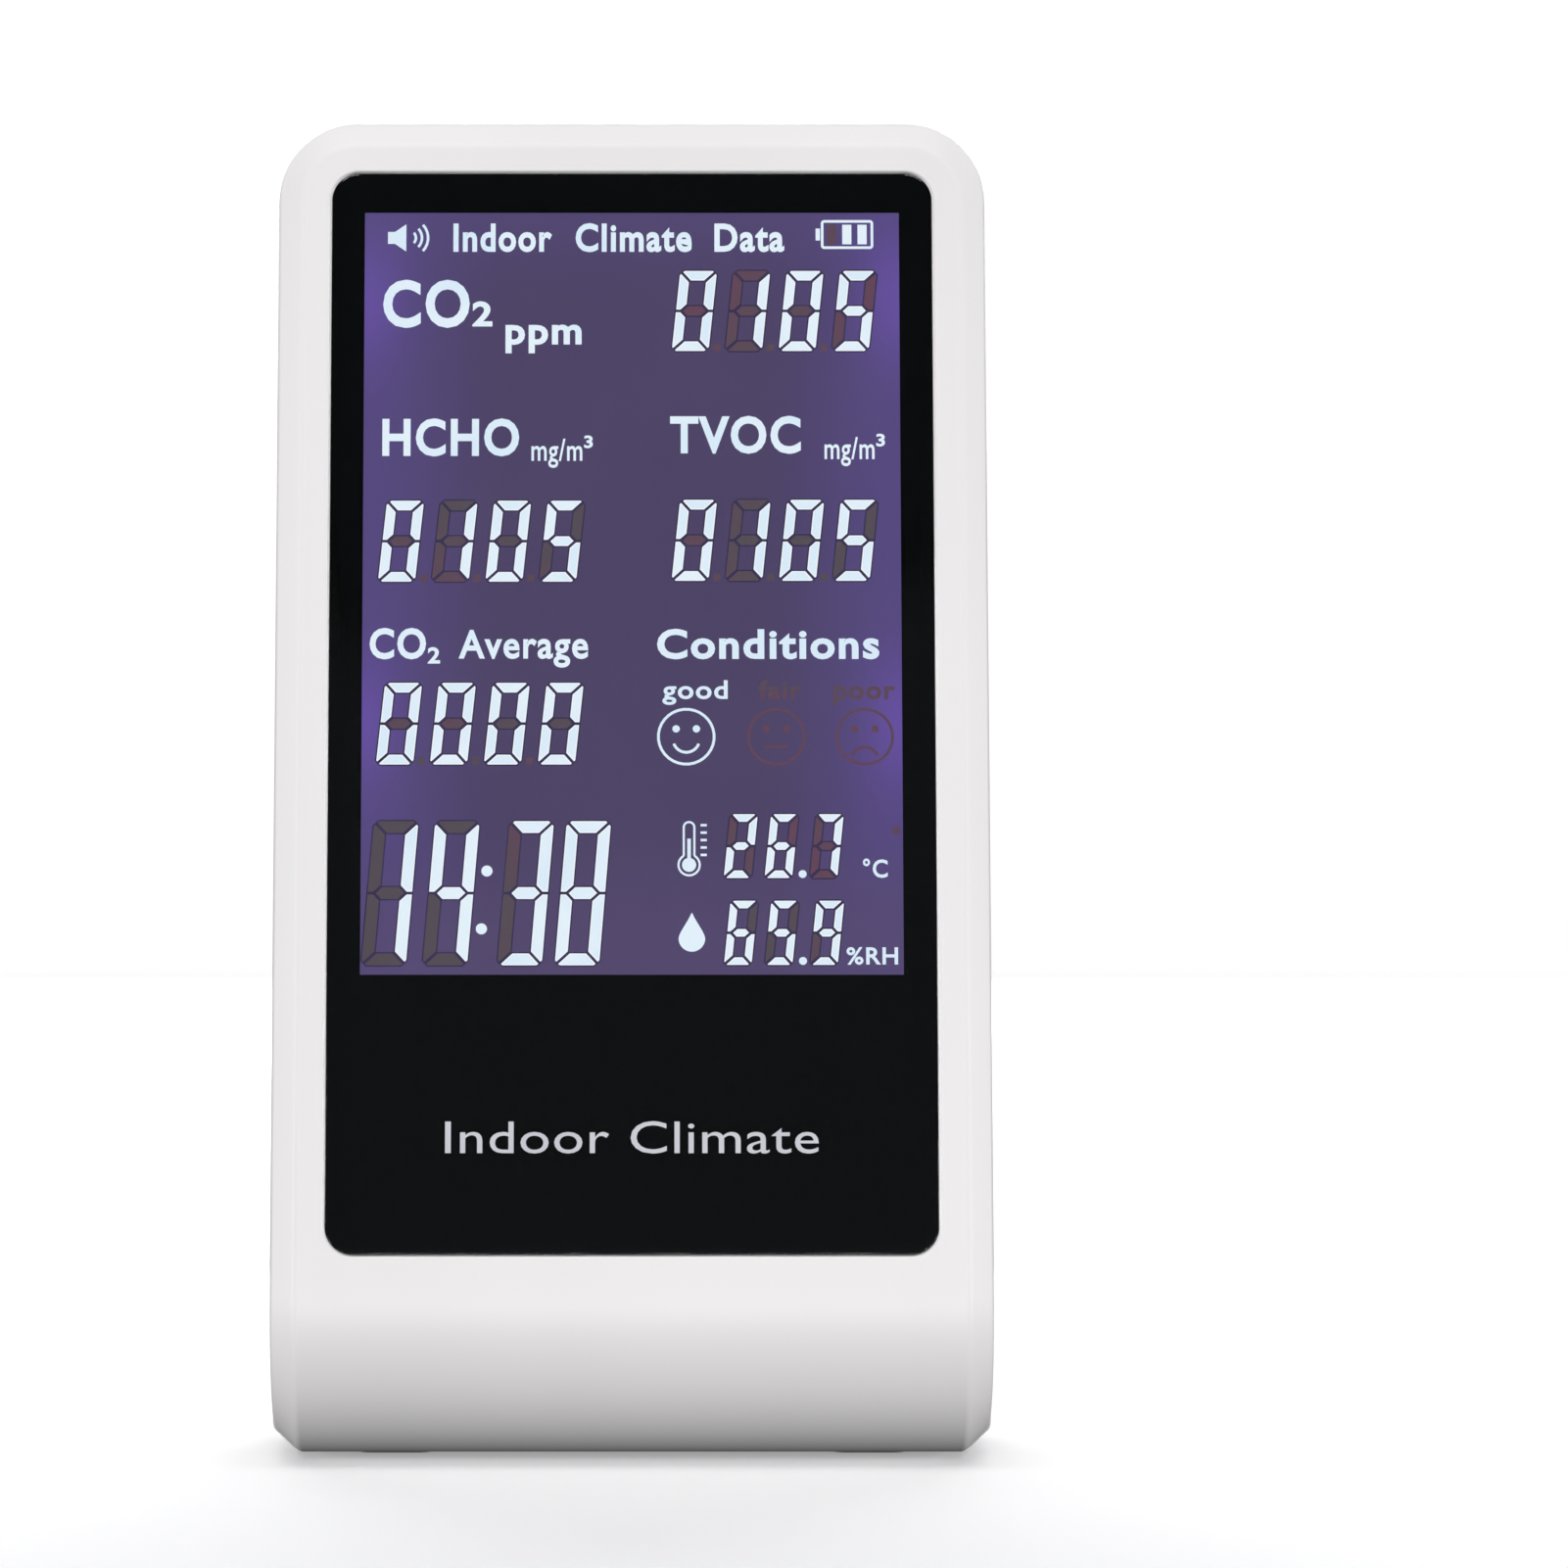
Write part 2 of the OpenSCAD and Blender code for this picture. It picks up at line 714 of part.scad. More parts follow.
module co2_sensor() {
  w = 14;
  h = 24;
  t = 7;
  color([0.78, 0.66, 0.35]) difference() {
    translate([3.5, sensor_rear_y, sensor_z - 10]) cube([w, t, h]);
    for (i = [0 : 3])
      translate([6, sensor_rear_y + t - 0.6, sensor_z - 6 + 4 * i]) cube([w - 5, 1, 1.6]);
  }
}

module tvoc_sensor() {
  z = sensor_z - 11;
  color(steel_color) difference() {
    rod_y(-13, z, sensor_rear_y, sensor_rear_y + 4.5, 4.6);
    rod_y(-13, z, sensor_rear_y + 3.9, sensor_rear_y + 5, 3);
  }
}

module humidity_sensor() {
  color([0.92, 0.93, 0.95]) difference() {
    translate([-5.5, sensor_rear_y, sensor_z - 15]) cube([6, 2.4, 8]);
    for (i = [0 : 3])
      translate([-4.5, sensor_rear_y + 1.8, sensor_z - 13.8 + 1.7 * i]) cube([4, 1, 0.8]);
  }
}

module sensor_leads() {
  z0 = sensor_z + 8;
  u = board_u + 8;
  route = run([sensor_board_y, z0], [sensor_board_y - 1.5, z0], board_yz(u, 1.8), board_yz(u, 0), 8);
  color(wire_black) for (i = [0 : 3]) lead(8 + 1.6 * i, route);
}

module vent_mesh() {
  color([0.35, 0.36, 0.38])
    translate([-mesh_w / 2, rear_in_y - mesh_t, sensor_z - mesh_h / 2]) cube([mesh_w, mesh_t, mesh_h]);
}

module button_board() {
  color(board_color) difference() {
    translate([-button_board_w / 2, button_board_y, button_z - button_board_h / 2])
      cube([button_board_w, board_t, button_board_h]);
    for (s = [-1, 1])
      rod_y(s * button_post_x, button_z, button_board_y - eps, button_board_y + board_t + eps,
        screw_r + screw_gap);
  }
}

module tact_switches() {
  color([0.3, 0.3, 0.32]) for (i = [-1 : 1]) difference() {
    translate([i * button_pitch - switch_side / 2, switch_y - switch_t, button_z - switch_side / 2])
      cube([switch_side, switch_t, switch_side]);
    rod_y(i * button_pitch, button_z, plunger_y - plunger_l - button_travel - 0.2, switch_y + eps,
      plunger_r + 0.2);
  }
}

// A cap with the flange that keeps it in the shell and the stem that presses the plunger
module button_cap(i) {
  color([0.85, 0.85, 0.86]) {
    rod_y(i * button_pitch, button_z, flange_y - eps, cap_out_y, button_dia / 2);
    rod_y(i * button_pitch, button_z, flange_y - flange_t, flange_y, flange_r);
    rod_y(i * button_pitch, button_z, plunger_y, flange_y - flange_t + eps, 1.5);
  }
}

module plunger(i) {
  color([0.1, 0.1, 0.1]) rod_y(i * button_pitch, button_z, plunger_y - plunger_l, plunger_y, plunger_r);
}

module button_leads() {
  z0 = button_z - button_board_h / 2 + 2;
  u = button_lead_u;
  route = run([button_board_y, z0], [button_board_y - 0.8, z0], board_yz(u, 1), board_yz(u, 0), 8);
  color(wire_black) for (i = [0 : 3]) lead(4 + 1.6 * i, route);
}

// A screw along Y: its head stands at y and its thread points to the front (-1) or the back (1)
module screw_y(x, z, y, l, way) {
  y_head = way < 0 ? y : y - head_h;
  y_shank = way < 0 ? y - l : y;
  difference() {
    union() {
      rod_y(x, z, y_head, y_head + head_h, head_dia / 2);
      rod_y(x, z, y_shank - (way < 0 ? 0 : eps), y_shank + l + (way < 0 ? eps : 0), screw_r);
    }
    translate([x, way < 0 ? y + head_h : y - head_h, z]) cross_recess();
  }
}

module cross_recess() {
  for (a = [0, 90]) rotate([0, a, 0]) cube([2.4, 1.4, 0.5], center = true);
}

module case_screws() {
  color(steel_color) for (p = case_points) screw_y(p[0], p[1], p[2] + shoulder_t, case_shank_l, -1);
}

module main_board_screws() {
  color(steel_color) for (s = [-1, 1], p = [low_post, high_post]) difference() {
    union() {
      face_rod(s * p[0], p[1], board_rear_v, board_rear_v + head_h, head_dia / 2);
      face_rod(s * p[0], p[1], board_v - pilot_depth + 0.5, board_rear_v + eps, screw_r);
    }
    on_face() translate([s * p[0], board_rear_v + head_h, p[1]]) cross_recess();
  }
}

module sensor_board_screws() {
  color(steel_color) for (s = [-1, 1], t = [-1, 1])
    screw_y(s * sensor_post[0], sensor_z + t * sensor_post[1], sensor_board_y, board_t + 4, 1);
}

module button_board_screws() {
  color(steel_color) for (s = [-1, 1])
    screw_y(s * button_post_x, button_z, button_board_y, board_t + 4, 1);
}

module power_board_screws() {
  z = power_board_z + board_t;
  color(steel_color) for (s = [-1, 1]) translate([s * power_post[0], power_post[1], z]) difference() {
    union() {
      cylinder(h = head_h, r = head_dia / 2, $fn = 32);
      translate([0, 0, -board_t - 4]) cylinder(h = board_t + 4 + eps, r = screw_r, $fn = 32);
    }
    translate([0, 0, head_h]) rotate([90, 0, 0]) cross_recess();
  }
}

front_shell();
rear_shell();
rubber_feet();
display_lens();
lens_mask();
lens_tape();
lcd_panel();
lcd_frame();
light_guide();
reflector_film();
backlight_leds();
lcd_connector();
main_board();
board_chips();
buzzer();
battery_socket();
battery_pack();
battery_tape();
battery_leads();
power_board();
usb_socket();
power_board_chips();
power_leads();
sensor_board();
hcho_sensor();
co2_sensor();
tvoc_sensor();
humidity_sensor();
sensor_leads();
vent_mesh();
button_board();
tact_switches();
button_cap(-1);  // power_button
button_cap(0);  // mode_button
button_cap(1);  // alarm_button
plunger(-1);  // power_plunger
plunger(0);  // mode_plunger
plunger(1);  // alarm_plunger
button_leads();
case_screws();
main_board_screws();
sensor_board_screws();
button_board_screws();
power_board_screws();
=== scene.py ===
"""Finished looks of a desk air quality monitor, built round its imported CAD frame.

Shapes are modelled in millimetres on working planes: the leaning front, the back, the base and
the display window. Each piece turns into metres when it is handed over to the frame.
"""

import logging
import math
from collections.abc import Sequence
from dataclasses import dataclass, field
from enum import Enum
from typing import Any

import bmesh
import bpy
from bmesh.types import BMEdge, BMesh
from mathutils import Matrix, Vector


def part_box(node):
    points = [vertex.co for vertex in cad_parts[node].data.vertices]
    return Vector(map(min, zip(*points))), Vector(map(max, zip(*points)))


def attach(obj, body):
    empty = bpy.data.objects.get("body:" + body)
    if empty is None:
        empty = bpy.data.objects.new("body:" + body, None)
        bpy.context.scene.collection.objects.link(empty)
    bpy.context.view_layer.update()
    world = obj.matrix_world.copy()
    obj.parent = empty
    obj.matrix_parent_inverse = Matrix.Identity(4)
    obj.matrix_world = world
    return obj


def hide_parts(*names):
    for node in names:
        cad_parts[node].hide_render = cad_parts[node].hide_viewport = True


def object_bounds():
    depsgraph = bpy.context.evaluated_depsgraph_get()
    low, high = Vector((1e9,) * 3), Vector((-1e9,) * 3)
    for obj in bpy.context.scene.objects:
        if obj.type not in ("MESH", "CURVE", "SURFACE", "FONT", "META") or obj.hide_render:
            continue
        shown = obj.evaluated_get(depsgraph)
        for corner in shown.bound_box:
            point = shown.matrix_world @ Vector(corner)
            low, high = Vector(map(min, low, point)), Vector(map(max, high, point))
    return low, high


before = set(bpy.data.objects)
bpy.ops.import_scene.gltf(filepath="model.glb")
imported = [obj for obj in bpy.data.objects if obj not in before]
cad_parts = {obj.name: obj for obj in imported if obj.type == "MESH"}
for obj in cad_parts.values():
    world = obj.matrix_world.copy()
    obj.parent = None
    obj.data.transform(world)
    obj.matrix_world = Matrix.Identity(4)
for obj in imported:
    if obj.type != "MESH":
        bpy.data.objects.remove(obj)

CAD_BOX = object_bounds()
MM = 0.001
CORNER_STEPS = 8
QUARTER = math.pi / 2
LOG = logging.getLogger("monitor")


# ---------------------------------------------------------------- working planes


@dataclass(frozen=True)
class Plane:
    """A flat working plane: x to the right, y up and z out of the surface."""

    origin: Vector
    right: Vector
    up: Vector

    def at(self, x: float = 0.0, y: float = 0.0, out: float = 0.0) -> Matrix:
        """Place on the plane as a matrix.

        Args:
            x: Millimetres to the right.
            y: Millimetres up.
            out: Millimetres out of the surface, negative for depth.

        Returns:
            The matrix from the plane's own coordinates to body coordinates.
        """
        turn = Matrix((self.right, self.up, self.right.cross(self.up))).transposed()
        return Matrix.Translation(self.origin) @ turn.to_4x4() @ Matrix.Translation((x, y, out))


def box_mm(node: str) -> tuple[Vector, Vector]:
    """Lowest and highest corner of a CAD node, in millimetres."""
    low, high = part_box(node)
    return Vector(low) / MM, Vector(high) / MM


@dataclass(frozen=True)
class Body:
    """Main sizes of the monitor, which the sub-assemblies share."""

    lean: float = math.radians(10)
    roll_r: float = 16.0
    corner_r: float = 9.2
    rear_edge_r: float = 3.0
    band: float = 2.8
    wall: float = 2.4
    face_wall: float = 2.6
    rim: float = 0.3
    front_depth: float = 8.0
    knee_z: float = 22.0
    lens_t: float = 1.25
    recess: float = 0.15
    lens_r: float = 3.3
    lens_gap: float = 0.15
    width: float = field(default_factory=lambda: (CAD_BOX[1] - CAD_BOX[0]).x / MM)
    height: float = field(default_factory=lambda: CAD_BOX[1].z / MM)
    rear_y: float = field(default_factory=lambda: CAD_BOX[1].y / MM)
    base_z: float = field(default_factory=lambda: box_mm("rear_shell")[0].z)

    @property
    def roll_y(self) -> float:
        """Depth at which the rolled lower edge meets the underside."""
        return CAD_BOX[0].y / MM + self.roll_r

    @property
    def roll_z(self) -> float:
        """Height of the axis of the rolled lower edge."""
        return self.base_z + self.roll_r

    def face_y(self, z: float) -> float:
        """Depth of the leaning face at a height.

        Args:
            z: Height in millimetres.

        Returns:
            The y of the face.
        """
        tangent_y = self.roll_y - self.roll_r * math.cos(self.lean)
        tangent_z = self.roll_z + self.roll_r * math.sin(self.lean)
        return tangent_y + (z - tangent_z) * math.tan(self.lean)

    def parting_y(self, z: float) -> float:
        """Depth of the parting line between the shells at a height.

        Args:
            z: Height in millimetres.

        Returns:
            The y of the parting line.
        """
        knee_y = self.face_y(self.knee_z) + self.front_depth / math.cos(self.lean)
        if z > self.knee_z:
            return self.face_y(z) + self.front_depth / math.cos(self.lean)
        foot_y = self.roll_y + 1.6
        return foot_y + (knee_y - foot_y) * z / self.knee_z

    @property
    def face(self) -> Plane:
        """The leaning front, with its origin at the height of the resting surface."""
        up = Vector((0, math.sin(self.lean), math.cos(self.lean)))
        return Plane(Vector((0, self.face_y(0), 0)), Vector((1, 0, 0)), up)

    @property
    def back(self) -> Plane:
        """The upright back, seen from behind, with x to the left of the front view."""
        return Plane(Vector((0, self.rear_y, 0)), Vector((-1, 0, 0)), Vector((0, 0, 1)))

    def up_face(self, node: str) -> tuple[float, float]:
        """Foot and top of a CAD node that lies along the face, measured up the face.

        Args:
            node: The node, a plate as deep as its width across the face tells.

        Returns:
            The places of its lower and its upper edge, in millimetres.
        """
        low, high = box_mm(node)
        tall, deep = high.z - low.z, high.y - low.y
        sine, cosine = math.sin(self.lean), math.cos(self.lean)
        size = (tall * cosine - deep * sine) / math.cos(2 * self.lean)
        middle = self.face.at().inverted() @ ((low + high) / 2)
        return middle.y - size / 2, middle.y + size / 2


# ---------------------------------------------------------------- mesh work


@dataclass(frozen=True)
class Ring:
    """One outline of a lofted hole, wall or boss: a rectangle with round corners."""

    width: float
    height: float
    corner: float
    out: float = 0.0


def disc(diameter: float, out: float = 0.0) -> Ring:
    """A round ring of a diameter, at a height above the plane."""
    return Ring(diameter, diameter, diameter / 2, out)


def grown(ring: Ring, by: float, out: float) -> Ring:
    """A ring grown all round, at another height above the plane."""
    return Ring(ring.width + 2 * by, ring.height + 2 * by, max(ring.corner + by, 0.02), out)


def outline(bm: BMesh, ring: Ring, place: Matrix) -> list[BMEdge]:
    """Draws a ring as a closed loop of edges.

    Args:
        bm: The mesh to add to.
        ring: The outline.
        place: Matrix from the ring's plane to body coordinates.

    Returns:
        The edges of the loop.
    """
    half_step = QUARTER / CORNER_STEPS / 2
    made = bmesh.ops.create_circle(
        bm, segments=4 * CORNER_STEPS, radius=ring.corner / math.cos(half_step),
        matrix=Matrix.Rotation(half_step, 4, "Z"))
    for vert in made["verts"]:
        vert.co.x += math.copysign(ring.width / 2 - ring.corner, vert.co.x)
        vert.co.y += math.copysign(ring.height / 2 - ring.corner, vert.co.y)
        vert.co.z = ring.out
    bmesh.ops.transform(bm, matrix=place, verts=made["verts"])
    return list({edge for vert in made["verts"] for edge in vert.link_edges})


def loft(bm: BMesh, rings: Sequence[Ring], place: Matrix) -> tuple[list[BMEdge], list[BMEdge]]:
    """Skins a row of rings.

    Args:
        bm: The mesh to add to.
        rings: Outlines in order.
        place: Matrix from the rings' plane to body coordinates.

    Returns:
        The edges of the first and of the last loop.
    """
    loops = [outline(bm, ring, place) for ring in rings]
    for near, far in zip(loops, loops[1:]):
        bmesh.ops.bridge_loops(bm, edges=near + far)
    return loops[0], loops[-1]


def mouth(ring: Ring, radius: float, steps: int = 3) -> list[Ring]:
    """Rings of a rounded edge that turns from the surface into a hole.

    Args:
        ring: Outline of the hole, at the height of the surface.
        radius: Radius of the edge.
        steps: Number of strips round the edge.

    Returns:
        Rings from the surface down into the hole.
    """
    angles = [QUARTER * step / steps for step in range(steps + 1)]
    return [grown(ring, radius * (1 - math.sin(a)), ring.out - radius * (1 - math.cos(a)))
            for a in angles]


def plate(bm: BMesh, ring: Ring, thickness: float, edge: float, place: Matrix,
          both: bool = False) -> None:
    """Adds a closed plate with a rounded rim.

    Args:
        bm: The mesh to add to.
        ring: Outline, at the height of the plate's underside.
        thickness: Thickness of the plate.
        edge: Radius of the rim's edge.
        place: Matrix from the plate's plane to body coordinates.
        both: Rounds the lower edge too.
    """
    angles = [QUARTER * step / 3 for step in range(4)]
    top = ring.out + thickness
    upper = [grown(ring, edge * (math.cos(a) - 1), top - edge * (1 - math.sin(a))) for a in angles]
    lower = [ring]
    if both:
        lower = [grown(ring, edge * (math.cos(a) - 1), ring.out + edge * (1 - math.sin(a)))
                 for a in reversed(angles)]
    first, last = loft(bm, lower + upper, place)
    bmesh.ops.edgeloop_fill(bm, edges=first)
    bmesh.ops.edgeloop_fill(bm, edges=last)


def block(bm: BMesh, size: Sequence[float], place: Matrix) -> None:
    """Adds a rectangular block, centred on a place."""
    bmesh.ops.create_cube(bm, size=1.0, matrix=place @ Matrix.Diagonal((*size, 1)))


def absorb(bm: BMesh, other: BMesh) -> None:
    """Moves the geometry of another mesh into this one.

    Args:
        bm: The mesh to add to.
        other: The mesh that is used up.
    """
    passing = bpy.data.meshes.new("passing")
    other.to_mesh(passing)
    other.free()
    bm.from_mesh(passing)
    bpy.data.meshes.remove(passing)


def crease(edge: BMEdge) -> float:
    """Angle between the two faces at an edge, in degrees."""
    return math.degrees(edge.calc_face_angle(0.0))


def open_loop(bm: BMesh, normal: Vector) -> list[BMEdge]:
    """Takes out the largest flat face that looks one way.

    Args:
        bm: The mesh.
        normal: The way the face looks.

    Returns:
        The edges round the opening.
    """
    facing = [face for face in bm.faces if face.normal.dot(normal) > 0.9999]
    largest = max(facing, key=lambda face: face.calc_area())
    edges = list(largest.edges)
    bmesh.ops.delete(bm, geom=[largest], context="FACES_ONLY")
    return edges


@dataclass
class Workshop:
    """Hands finished pieces over to the frame."""

    made: list[str] = field(default_factory=list)

    def piece(self, name: str, bm: BMesh, body: str, slot: str,
              paints: Sequence[bpy.types.Material], replaces: Sequence[str] = (),
              sharp: float = 35.0) -> bpy.types.Object:
        """Turns a mesh into a piece that rides on a CAD body.

        Args:
            name: Name of the piece.
            bm: Its mesh in millimetres, which is used up.
            body: The CAD body that it rides on.
            slot: Not used.
            paints: Materials in the order of the faces' numbers.
            replaces: CAD nodes that the piece stands for.
            sharp: Edges over this angle, in degrees, stay crisp.

        Returns:
            The new object.
        """
        bmesh.ops.remove_doubles(bm, verts=bm.verts, dist=0.0005)
        bmesh.ops.recalc_face_normals(bm, faces=bm.faces)
        bmesh.ops.transform(bm, matrix=Matrix.Diagonal((MM, MM, MM, 1)), verts=bm.verts)
        mesh = bpy.data.meshes.new(name)
        bm.to_mesh(mesh)
        bm.free()
        mesh.shade_smooth()
        mesh.set_sharp_from_angle(angle=math.radians(sharp))
        for paint in paints:
            mesh.materials.append(paint)
        obj = bpy.data.objects.new(name, mesh)
        bpy.context.scene.collection.objects.link(obj)
        even = obj.modifiers.new("even_shading", "WEIGHTED_NORMAL")
        even.mode, even.keep_sharp = "FACE_AREA", True
        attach(obj, body)
        if replaces:
            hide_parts(*replaces)
        self.made.append(name)
        LOG.info("%s: %d faces", name, len(mesh.polygons))
        return obj

    def dress(self, node: str, paint: bpy.types.Material) -> None:
        """Gives a carried-over CAD node its finish.

        Args:
            node: Name of the node.
            paint: Its finish.
        """
        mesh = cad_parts[node].data
        mesh.materials.clear()
        mesh.materials.append(paint)
        self.made.append(node)
        LOG.info("%s: dressed", node)


# ---------------------------------------------------------------- shader work


def srgb(red: float, green: float, blue: float) -> tuple[float, float, float, float]:
    """Scene-linear colour of a display colour from 0 to 255.

    Args:
        red: Red share.
        green: Green share.
        blue: Blue share.

    Returns:
        Red, green, blue and full opacity, scene-linear.
    """
    shares = [value / 255 for value in (red, green, blue)]
    linear = [s / 12.92 if s <= 0.04045 else ((s + 0.055) / 1.055) ** 2.4 for s in shares]
    return (*linear, 1.0)


Socket = bpy.types.NodeSocket


@dataclass(frozen=True)
class Term:
    """A number that varies over the surface, so that a formula reads as written."""

    recipe: "Recipe"
    socket: Socket

    def _math(self, operation: str, *values: Any) -> "Term":
        """Adds a Math node and returns its result.

        Args:
            operation: What the node does.
            *values: Its inputs in order.

        Returns:
            The result as a term.
        """
        node = self.recipe.node("ShaderNodeMath", {"operation": operation})
        for slot, value in zip(node.inputs, values):
            self.recipe.feed(slot, value)
        return Term(self.recipe, node.outputs[0])

    def __add__(self, other: Any) -> "Term":
        """Sum."""
        return self._math("ADD", self, other)

    def __radd__(self, other: Any) -> "Term":
        """Sum with a number on the left."""
        return self._math("ADD", other, self)

    def __sub__(self, other: Any) -> "Term":
        """Difference."""
        return self._math("SUBTRACT", self, other)

    def __rsub__(self, other: Any) -> "Term":
        """Difference from a number."""
        return self._math("SUBTRACT", other, self)

    def __mul__(self, other: Any) -> "Term":
        """Product."""
        return self._math("MULTIPLY", self, other)

    def __rmul__(self, other: Any) -> "Term":
        """Product with a number on the left."""
        return self._math("MULTIPLY", other, self)

    def __truediv__(self, other: Any) -> "Term":
        """Quotient."""
        return self._math("DIVIDE", self, other)

    def exp(self) -> "Term":
        """Natural exponential."""
        return self._math("EXPONENT", self)

    def sine(self) -> "Term":
        """Sine of an angle in radians."""
        return self._math("SINE", self)

    def absolute(self) -> "Term":
        """Size without sign."""
        return self._math("ABSOLUTE", self)

    def over(self, limit: float) -> "Term":
        """One where the number is over a limit, and nought elsewhere."""
        return self._math("GREATER_THAN", self, limit)

    def between(self, low: float, high: float) -> "Term":
        """Smooth step from nought at low to one at high.

        Args:
            low: Where the step starts.
            high: Where it ends.

        Returns:
            The step as a term.
        """
        node = self.recipe.node("ShaderNodeMapRange", {"interpolation_type": "SMOOTHSTEP"},
                                Value=self, **{"From Min": low, "From Max": high})
        return Term(self.recipe, node.outputs[0])


class Recipe:
    """Node tree of one material, with a Principled shader at its end."""

    def __init__(self, name: str) -> None:
        """Starts an empty material of a name.

        Args:
            name: Name of the material.
        """
        self.material = bpy.data.materials.new(name)
        self.material.use_nodes = True
        self.tree = self.material.node_tree
        self.tree.nodes.clear()
        self.shader = self.tree.nodes.new("ShaderNodeBsdfPrincipled")
        end = self.tree.nodes.new("ShaderNodeOutputMaterial")
        self.tree.links.new(self.shader.outputs[0], end.inputs[0])

    def feed(self, slot: Socket, value: Any) -> None:
        """Links a socket or sets its constant value.

        Args:
            slot: The input socket.
            value: A term, a socket or a constant.
        """
        if isinstance(value, Term):
            self.tree.links.new(value.socket, slot)
        elif isinstance(value, bpy.types.NodeSocket):
            self.tree.links.new(value, slot)
        else:
            slot.default_value = value

    def node(self, kind: str, settings: dict[str, Any] | None = None,
             **values: Any) -> bpy.types.Node:
        """Adds a node.

        Args:
            kind: The node's type.
            settings: Attributes that are set first.
            **values: Values or links of its sockets, by name.

        Returns:
            The node.
        """
        node = self.tree.nodes.new(kind)
        for key, value in (settings or {}).items():
            setattr(node, key, value)
        for key, value in values.items():
            self.feed(node.inputs[key], value)
        return node

    def place(self) -> Socket:
        """Object coordinates."""
        return self.node("ShaderNodeTexCoord").outputs["Object"]

    def face_terms(self, lean: float) -> tuple[Term, Term]:
        """Across and up along the leaning front, in millimetres.

        Args:
            lean: Lean of the front, in radians.

        Returns:
            The place across and the place up the front.
        """
        turned = self.node("ShaderNodeMapping", {"vector_type": "POINT"}, Vector=self.place(),
                           Rotation=(lean, 0, 0), Scale=(1000, 1000, 1000))
        split = self.node("ShaderNodeSeparateXYZ", Vector=turned.outputs[0])
        return Term(self, split.outputs["X"]), Term(self, split.outputs["Z"])

    def noise(self, scale: float, detail: float = 3.0, roughness: float = 0.5,
              stretch: Sequence[float] = (1, 1, 1)) -> Term:
        """Noise of a scale per metre.

        Args:
            scale: Waves per metre.
            detail: Number of finer layers.
            roughness: Share of each finer layer.
            stretch: Scale along each axis.

        Returns:
            Noise between nought and one.
        """
        where = self.node("ShaderNodeMapping", Vector=self.place(), Scale=tuple(stretch))
        node = self.node("ShaderNodeTexNoise", Vector=where.outputs[0], Scale=scale, Detail=detail,
                         Roughness=roughness)
        return Term(self, node.outputs["Fac"])

    def mix(self, share: Any, first: Any, second: Any) -> Socket:
        """Blend of two colours by a share from nought to one.

        Args:
            share: Share of the second colour.
            first: The colour at nought.
            second: The colour at one.

        Returns:
            The socket of the blend.
        """
        node = self.node("ShaderNodeMix", {"data_type": "RGBA"})
        for number, value in ((0, share), (6, first), (7, second)):
            self.feed(node.inputs[number], value)
        return node.outputs[2]

    def bump(self, height: Term, distance: float, strength: float = 1.0) -> Socket:
        """Normal of a height field whose waves stand a distance, in metres, high."""
        node = self.node("ShaderNodeBump", Height=height, Distance=distance, Strength=strength)
        return node.outputs["Normal"]

    def finish(self, **values: Any) -> bpy.types.Material:
        """Sets the shader's sockets by name and returns the material.

        Args:
            **values: Values by socket name, with _ for a space.

        Returns:
            The finished material.
        """
        for key, value in values.items():
            self.feed(self.shader.inputs[key.replace("_", " ")], value)
        return self.material


# ---------------------------------------------------------------- finishes


@dataclass(frozen=True)
class MouldedPlastic:
    """Opaque moulded plastic with a fine grain and faint flow marks."""

    name: str
    colour: tuple[float, float, float, float]
    roughness: float = 0.42
    grain: float = 5200.0
    depth: float = 0.000006
    shade: float = 0.035

    def material(self) -> bpy.types.Material:
        """Builds the material.

        Returns:
            The finished material.
        """
        recipe = Recipe(self.name)
        flow = recipe.noise(26.0, 2.0, stretch=(1, 1, 0.4))
        fine = recipe.noise(self.grain, 2.0, 0.6)
        darker = tuple(value * (1 - self.shade) for value in self.colour[:3]) + (1.0,)
        return recipe.finish(
            Base_Color=recipe.mix(flow.between(0.3, 0.7), darker, self.colour),
            Roughness=self.roughness - 0.04 + 0.08 * fine,
            Normal=recipe.bump(fine, self.depth), IOR=1.46)


@dataclass(frozen=True)
class Rubber:
    """Matt rubber or foam with a pebbled surface."""

    name: str
    colour: tuple[float, float, float, float]
    grain: float = 2600.0

    def material(self) -> bpy.types.Material:
        """Builds the material.

        Returns:
            The finished material.
        """
        recipe = Recipe(self.name)
        pebble = recipe.noise(self.grain, 3.0, 0.6)
        dust = recipe.noise(90.0, 3.0).between(0.45, 0.8)
        pale = tuple(min(1.0, value * 1.8 + 0.01) for value in self.colour[:3]) + (1.0,)
        return recipe.finish(
            Base_Color=recipe.mix(0.35 * dust, self.colour, pale),
            Roughness=0.78 + 0.12 * pebble, Normal=recipe.bump(pebble, 0.00002))


@dataclass(frozen=True)
class ClearPlate:
    """Polished clear acrylic."""

    name: str

    def material(self) -> bpy.types.Material:
        """Builds the material.

        Returns:
            The finished material.
        """
        recipe = Recipe(self.name)
        haze = recipe.noise(55.0, 3.0)
        return recipe.finish(
            Base_Color=(0.985, 0.99, 1.0, 1.0), Roughness=0.006 + 0.012 * haze.between(0.35, 0.8),
            Transmission_Weight=1.0, IOR=1.45)


